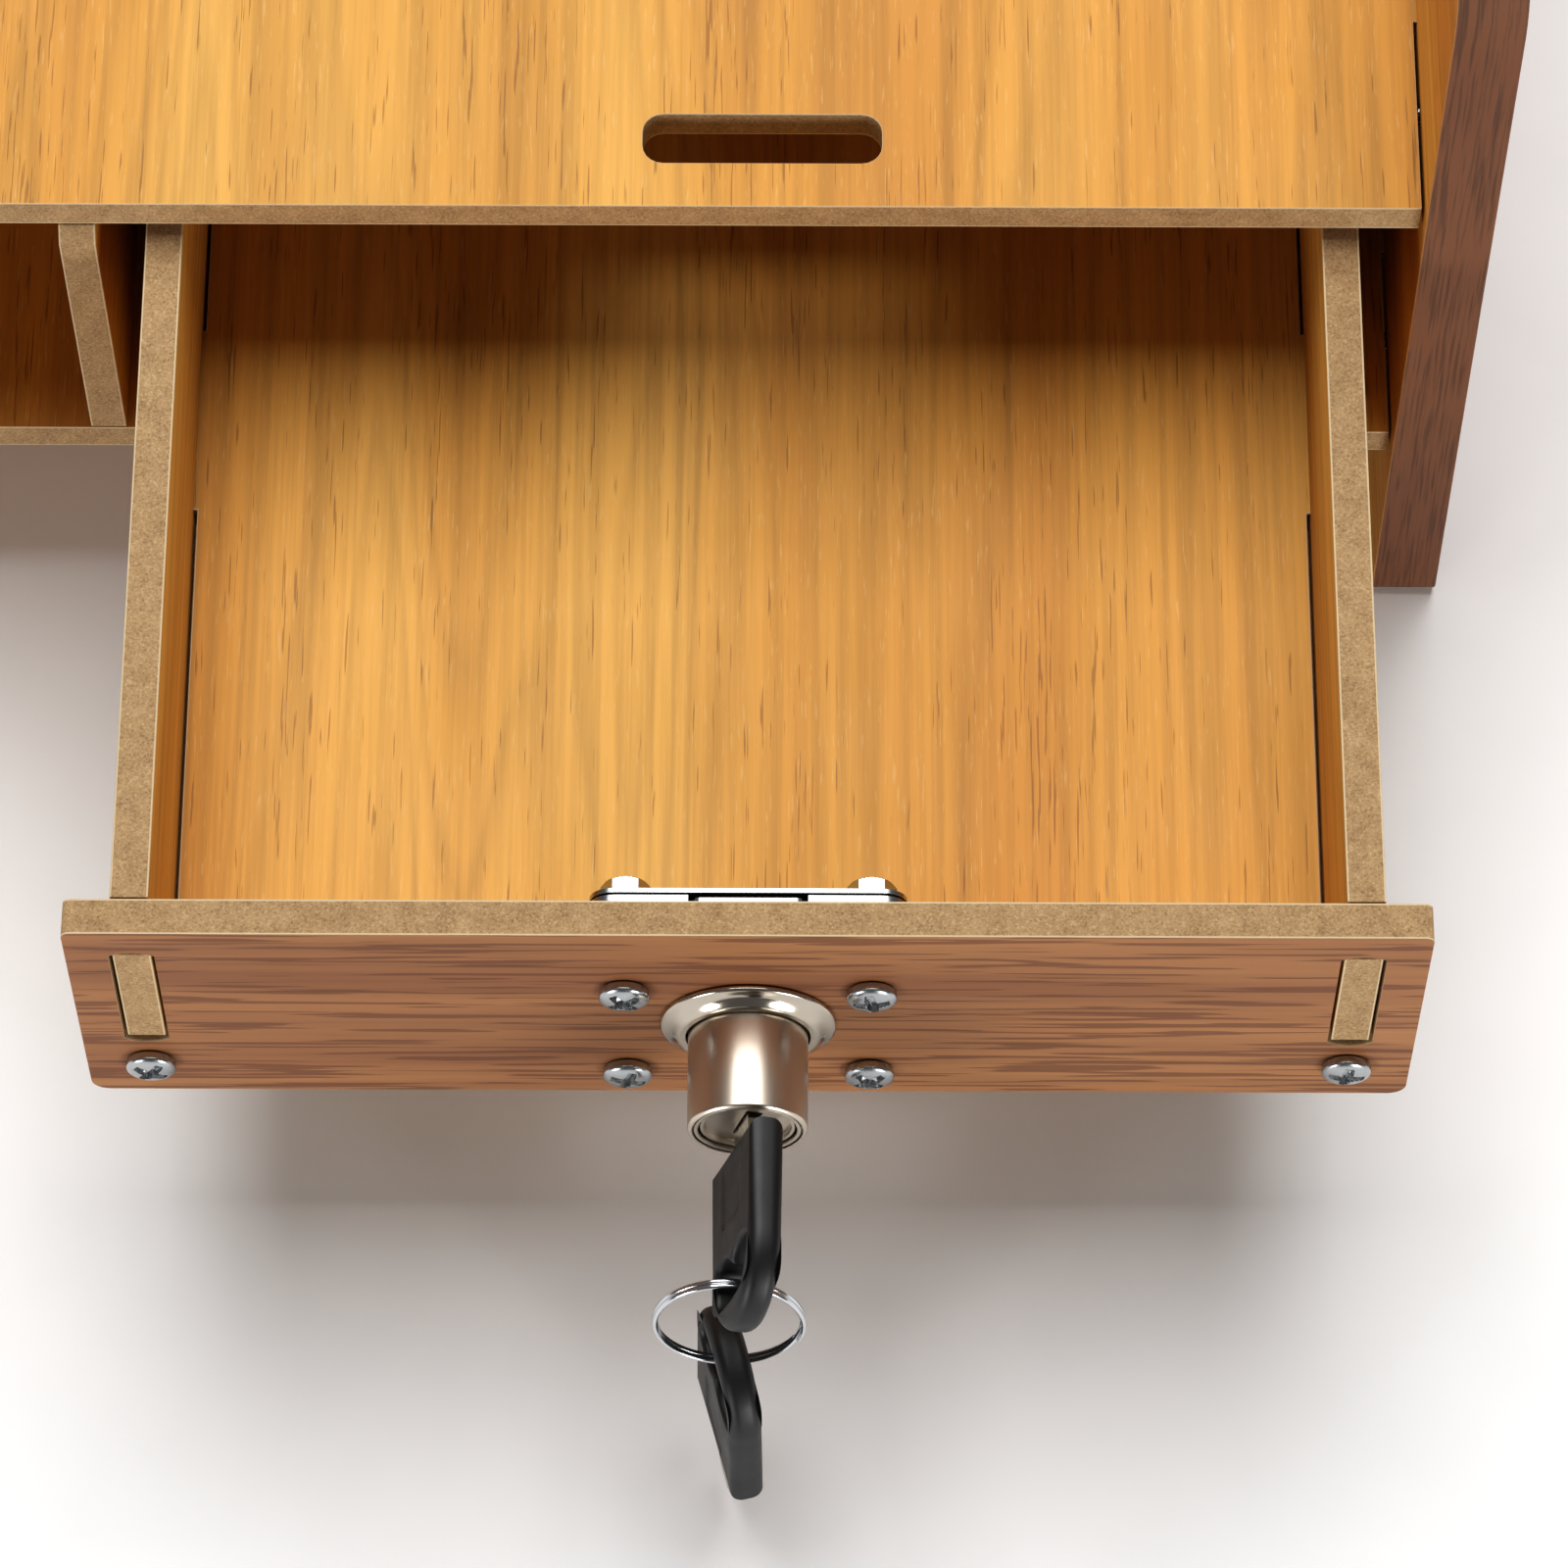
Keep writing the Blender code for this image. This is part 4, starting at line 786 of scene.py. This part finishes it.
def bow_reach(angle):
    """From the eye's middle to the outline: the shoulder, the parallel sides, or the end's arc."""
    along, across = np.cos(angle), np.sin(angle)
    to_shoulder = np.where(along < -1e-6, (SHOULDER - EYE_CENTRE) / np.minimum(along, -1e-6), 1.0)
    to_side = BOW_HALF / np.maximum(abs(across), 1e-6)
    ahead = (EYE_CENTRE - ARC_CENTRE) * along
    to_arc = -ahead + np.sqrt(ahead ** 2 - (EYE_CENTRE - ARC_CENTRE) ** 2 + BOW_HALF ** 2)
    on_arc = EYE_CENTRE + to_arc * along > ARC_CENTRE
    return np.where(on_arc, to_arc, np.minimum(to_shoulder, to_side))


def eye_reach(angle):
    """A rounded oblong of the fourth power, with a smooth dent in the side towards the shoulder."""
    along, across = np.cos(angle), np.sin(angle)
    reach = (abs(along / EYE_SHORT) ** 4 + abs(across / EYE_LONG) ** 4) ** -0.25
    return reach - np.where(along < 0, EYE_DENT * np.exp(-(reach * across / DENT_WIDTH) ** 2), 0)


directions = np.linspace(-pi, pi, 9, endpoint=False)
print("bow reach in mm:", (bow_reach(directions) / MM).round(1))


# %% Bow surface
PANEL_HALF, PANEL_END, PANEL_SLOPE, PANEL_DEPTH = 5.2 * MM, 15.5 * MM, 0.35 * MM, 0.35 * MM
EDGE_ROWS, FACE_ROWS = 7, 22   # how finely the rounded edges and the flat face are divided


def bow_section():
    """Rows of the way round the section: the share of the way from the eye to the outline, how far
    the outline is drawn in there, and the height. Both edges are quarter circles."""
    quarter, half = np.linspace(0, pi / 2, EDGE_ROWS), BOW_THICK / 2
    drawn_in, dropped = 1 - np.sin(quarter), 1 - np.cos(quarter)
    inwards = np.linspace(0, 1, FACE_ROWS + 2)[1:-1]
    outside, flat, inside = np.ones(EDGE_ROWS), np.full(FACE_ROWS, half), np.zeros(EDGE_ROWS)
    outer_edge = np.stack([outside, BOW_EDGE * drawn_in, half - BOW_EDGE * dropped], axis=-1)
    face = np.stack([1 - inwards, BOW_EDGE * (1 - 1.6 * inwards), flat], axis=-1)
    soft = 0.6 * BOW_EDGE   # the eye's edge is less round than the outer one
    eye_edge = np.stack([inside, -soft * drawn_in, half - soft * dropped], axis=-1)
    above = np.concatenate([outer_edge[::-1], face, eye_edge])
    return np.concatenate([above, above[::-1] * (1, 1, -1)])


def bow_grid(place):
    """Place is the matrix from the key's frame: -Y points out of the lock, Z across the bow."""
    corner = np.arctan2(BOW_HALF, SHOULDER - EYE_CENTRE)
    even = np.linspace(-pi, pi, 240, endpoint=False)
    angle = np.unique(np.concatenate([even, [corner, -corner]]))
    share, drawn_in, height = (column[:, None] for column in bow_section().T)
    radius = share * (bow_reach(angle) - drawn_in) + (1 - share) * (eye_reach(angle) - drawn_in)
    along, across = EYE_CENTRE + radius * np.cos(angle), radius * np.sin(angle)
    from_end = np.minimum(along - SHOULDER - 2.5 * MM, PANEL_END - along)
    panel = (np.clip((PANEL_HALF - abs(across)) / PANEL_SLOPE, 0, 1)
             * np.clip(from_end / PANEL_SLOPE, 0, 1))
    on_face = abs(height) > BOW_THICK / 2 - 0.01 * MM
    height = height * np.ones_like(along) - np.sign(height) * PANEL_DEPTH * panel * on_face
    points = np.stack([height, -along, across, np.ones_like(along)], axis=-1)
    return (points @ np.array(place).T)[..., :3]


print("points round the section:", len(bow_section()))

# %% Keys
KEY_TILT, SPARE_YAW, SPARE_LEAN = radians(15.5), radians(14.5), radians(8)
ABOVE_WIRE = 1.1 * MM   # the spare key's eye rests on the ring's wire
key_place = Matrix.Translation(on_axis(mouth)) @ Matrix.Rotation(KEY_TILT, 4, "Y")
piece_from_grid("key_bow_moulded", bow_grid(key_place), BLACK_NYLON, "key_bow", close_rows=True)
hanging = Matrix.Rotation(-SPARE_LEAN, 4, "X") @ Matrix.Rotation(SPARE_YAW, 4, "Z")
raised = Matrix.Translation((0, 0, ABOVE_WIRE - EYE_CENTRE - EYE_SHORT))
spare_place = (Matrix.Translation(joint_place("spare_swing")) @ hanging @ raised
               @ Matrix.Rotation(-pi / 2, 4, "X"))
piece_from_grid("spare_bow_moulded", bow_grid(spare_place), BLACK_NYLON, "spare_key_bow",
                close_rows=True)
for blade in ("key_blade", "spare_key_blade"):
    eased_copy(blade + "_milled", blade, 0.15 * MM, KEY_NICKEL)
print("the key stands", round(np.degrees(KEY_TILT), 1), "degrees off upright")


# %% [markdown]
# ## Split ring
# A split ring is two turns of hard wire, flat against each other. Its centre line is a circle
# gone round twice, which moves aside by one wire's width half-way, so that each turn lies flat.
# The wire is a circle carried along that line, closed by rounded ends, and its free end stands
# out a little. A torus would show one wire, and a curve with a bevel would have flat ends.

# %% Split ring
WIRE = 0.43 * MM   # radius of the wire
RING_TILT, RING_START = radians(8), radians(-25)
STEP_START, STEP_LENGTH = 1.86 * pi, 0.28 * pi   # where the wire steps over to the second turn
AXIS_Y = np.array([0, 1, 0])


def split_ring():
    """Centre line: constant radius, two turns of angle, and an offset that steps over half-way."""
    low, high = box("key_ring")
    radius = (high[0] - low[0]) / 2 - WIRE
    turns = np.linspace(0, 4 * pi, 361)
    step = np.clip((turns - STEP_START) / STEP_LENGTH, 0, 1)
    offset = 0.98 * WIRE * (2 * step * step * (3 - 2 * step) - 1)
    angle = turns + RING_START
    direction = np.stack([np.cos(angle), np.zeros_like(angle), np.sin(angle)], axis=-1)
    # The free end stands out a little, where a key is pushed on
    swell = 1 + 0.03 * np.clip(1 - turns / (0.25 * pi), 0, 1)
    line = direction * (radius * swell)[:, None] + offset[:, None] * AXIS_Y
    # The wire's radius shrinks over the last points at both ends, like a hemisphere
    from_end = np.minimum(turns, turns[-1] - turns) * radius
    size = WIRE * np.sqrt(np.clip(1 - (1 - np.clip(from_end / WIRE, 0, 1)) ** 2, 0, 1))
    around = np.linspace(0, 2 * pi, 16, endpoint=False)
    section = (np.cos(around)[None, :, None] * direction[:, None]
               + np.sin(around)[None, :, None] * AXIS_Y)
    grid = line[:, None] + size[:, None, None] * section
    turn = np.array(Matrix.Rotation(-RING_TILT, 3, "X"))
    piece_from_grid("split_ring_wire", grid @ turn.T + (low + high) / 2, SPRING_WIRE, "key_ring")


split_ring()
print("split ring: two turns of wire", round(2 * WIRE / MM, 2), "mm thick")


# %% [markdown]
# ## Floor, light and camera
# The riser stands on a white table under one large soft light, overhead and a little behind it,
# so the shelf shades the back of the drawer. Two weak, low ones light the drawer's front. The
# camera looks steeply down at the open drawer through a long lens, which keeps the boards' edges
# nearly parallel. Smaller lamps would throw hard shadows into the drawer.

# %% Floor
FLOOR, REACH = -0.5 * MM, 6.0   # just under the feet, and wide enough for every view


def white_floor():
    """A flat square in matt white, marked as the stage and not as a part of the riser."""
    material, tree, shader, point = start_material("matt_white_table", Roughness=0.9)
    mottle = stretched_noise(tree, point, 30, 30, 0, 1, 2, 0.5)
    colour = add_node(tree, "ValToRGB", {0: mottle}, [(0.3, "#F7F7F7"), (0.7, "#FBFBFB")])
    tree.links.new(colour, shader.inputs["Base Color"])
    data = bpy.data.meshes.new("table")
    corners = [(x * REACH, y * REACH, FLOOR) for x, y in ((-1, -1), (1, -1), (1, 1), (-1, 1))]
    data.from_pydata(corners, [], [(0, 1, 2, 3)])
    data.materials.append(material)
    floor = bpy.data.objects.new("table", data)
    bpy.context.scene.collection.objects.link(floor)
    floor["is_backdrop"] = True


white_floor()
print("floor at z =", FLOOR / MM, "mm")


# %% Light
SURROUND = 0.13


def soft_light(name, place, aim, size, watts):
    """A square lamp at a place, turned so that it looks at the aim."""
    data = bpy.data.lights.new(name, "AREA")
    data.shape = "SQUARE"
    data.size = size
    data.energy = watts
    light = bpy.data.objects.new(name, data)
    light.location = place
    light.rotation_euler = (Vector(aim) - Vector(place)).to_track_quat("-Z", "Y").to_euler()
    bpy.context.scene.collection.objects.link(light)


soft_light("key_light", (0.1, 0.52, 1.75), (0.1, -0.1, 0.08), 1.6, 36)
for side in (-1, 1):
    soft_light("fill_light", (1.1 * side, -1.7, 0.32), (0.1, -0.15, 0.08), 0.6, 12)
world = bpy.data.worlds.new("studio")
world.use_nodes = True
surround = world.node_tree.nodes["Background"]
surround.inputs["Color"].default_value = (1, 1, 1, 1)
surround.inputs["Strength"].default_value = SURROUND
scene = bpy.context.scene
scene.world = world
scene.view_settings.view_transform = "Standard"
scene.view_settings.look = "Medium High Contrast"
print("three soft lights, and a white surround of strength", SURROUND)


# %% Camera
def studio_camera():
    """Stands above and in front of the drawer front's top edge, and looks down at it."""
    low, high = box("drawer_front")
    edge = Vector(((low[0] + high[0]) / 2, high[1], high[2]))
    elevation, azimuth, roll = radians(62.79), radians(-0.08), radians(0.14)
    ahead = Vector((sin(azimuth) * cos(elevation), cos(azimuth) * cos(elevation), -sin(elevation)))
    right = Vector((cos(azimuth), -sin(azimuth), 0))
    above = right.cross(ahead)
    turned_right = right * cos(roll) + above * sin(roll)
    turned_above = above * cos(roll) - right * sin(roll)
    data = bpy.data.cameras.new("studio_camera")
    data.lens = 153.7
    data.sensor_width = 36
    camera = bpy.data.objects.new("studio_camera", data)
    place = edge + Vector((6.2, -456.8, 928.1)) * MM
    turned = Matrix((turned_right, turned_above, -ahead)).transposed().to_4x4()
    camera.matrix_world = Matrix.Translation(place) @ turned
    bpy.context.scene.collection.objects.link(camera)
    bpy.context.scene.camera = camera
    print("camera", round((place - edge).length, 3), "m from the drawer front")


studio_camera()


# %% [markdown]
# ## Finish
# The box of everything shown is measured again, and how far its corners moved from the frame's
# box is printed, so that any growth from the new surfaces shows.

# %% Size and finish
new_box = [list(map(float, corner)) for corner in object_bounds()]
moved = np.array(new_box) - np.array(cad_box)
print("low and high corners moved, in mm:", (moved / MM).round(2).tolist())
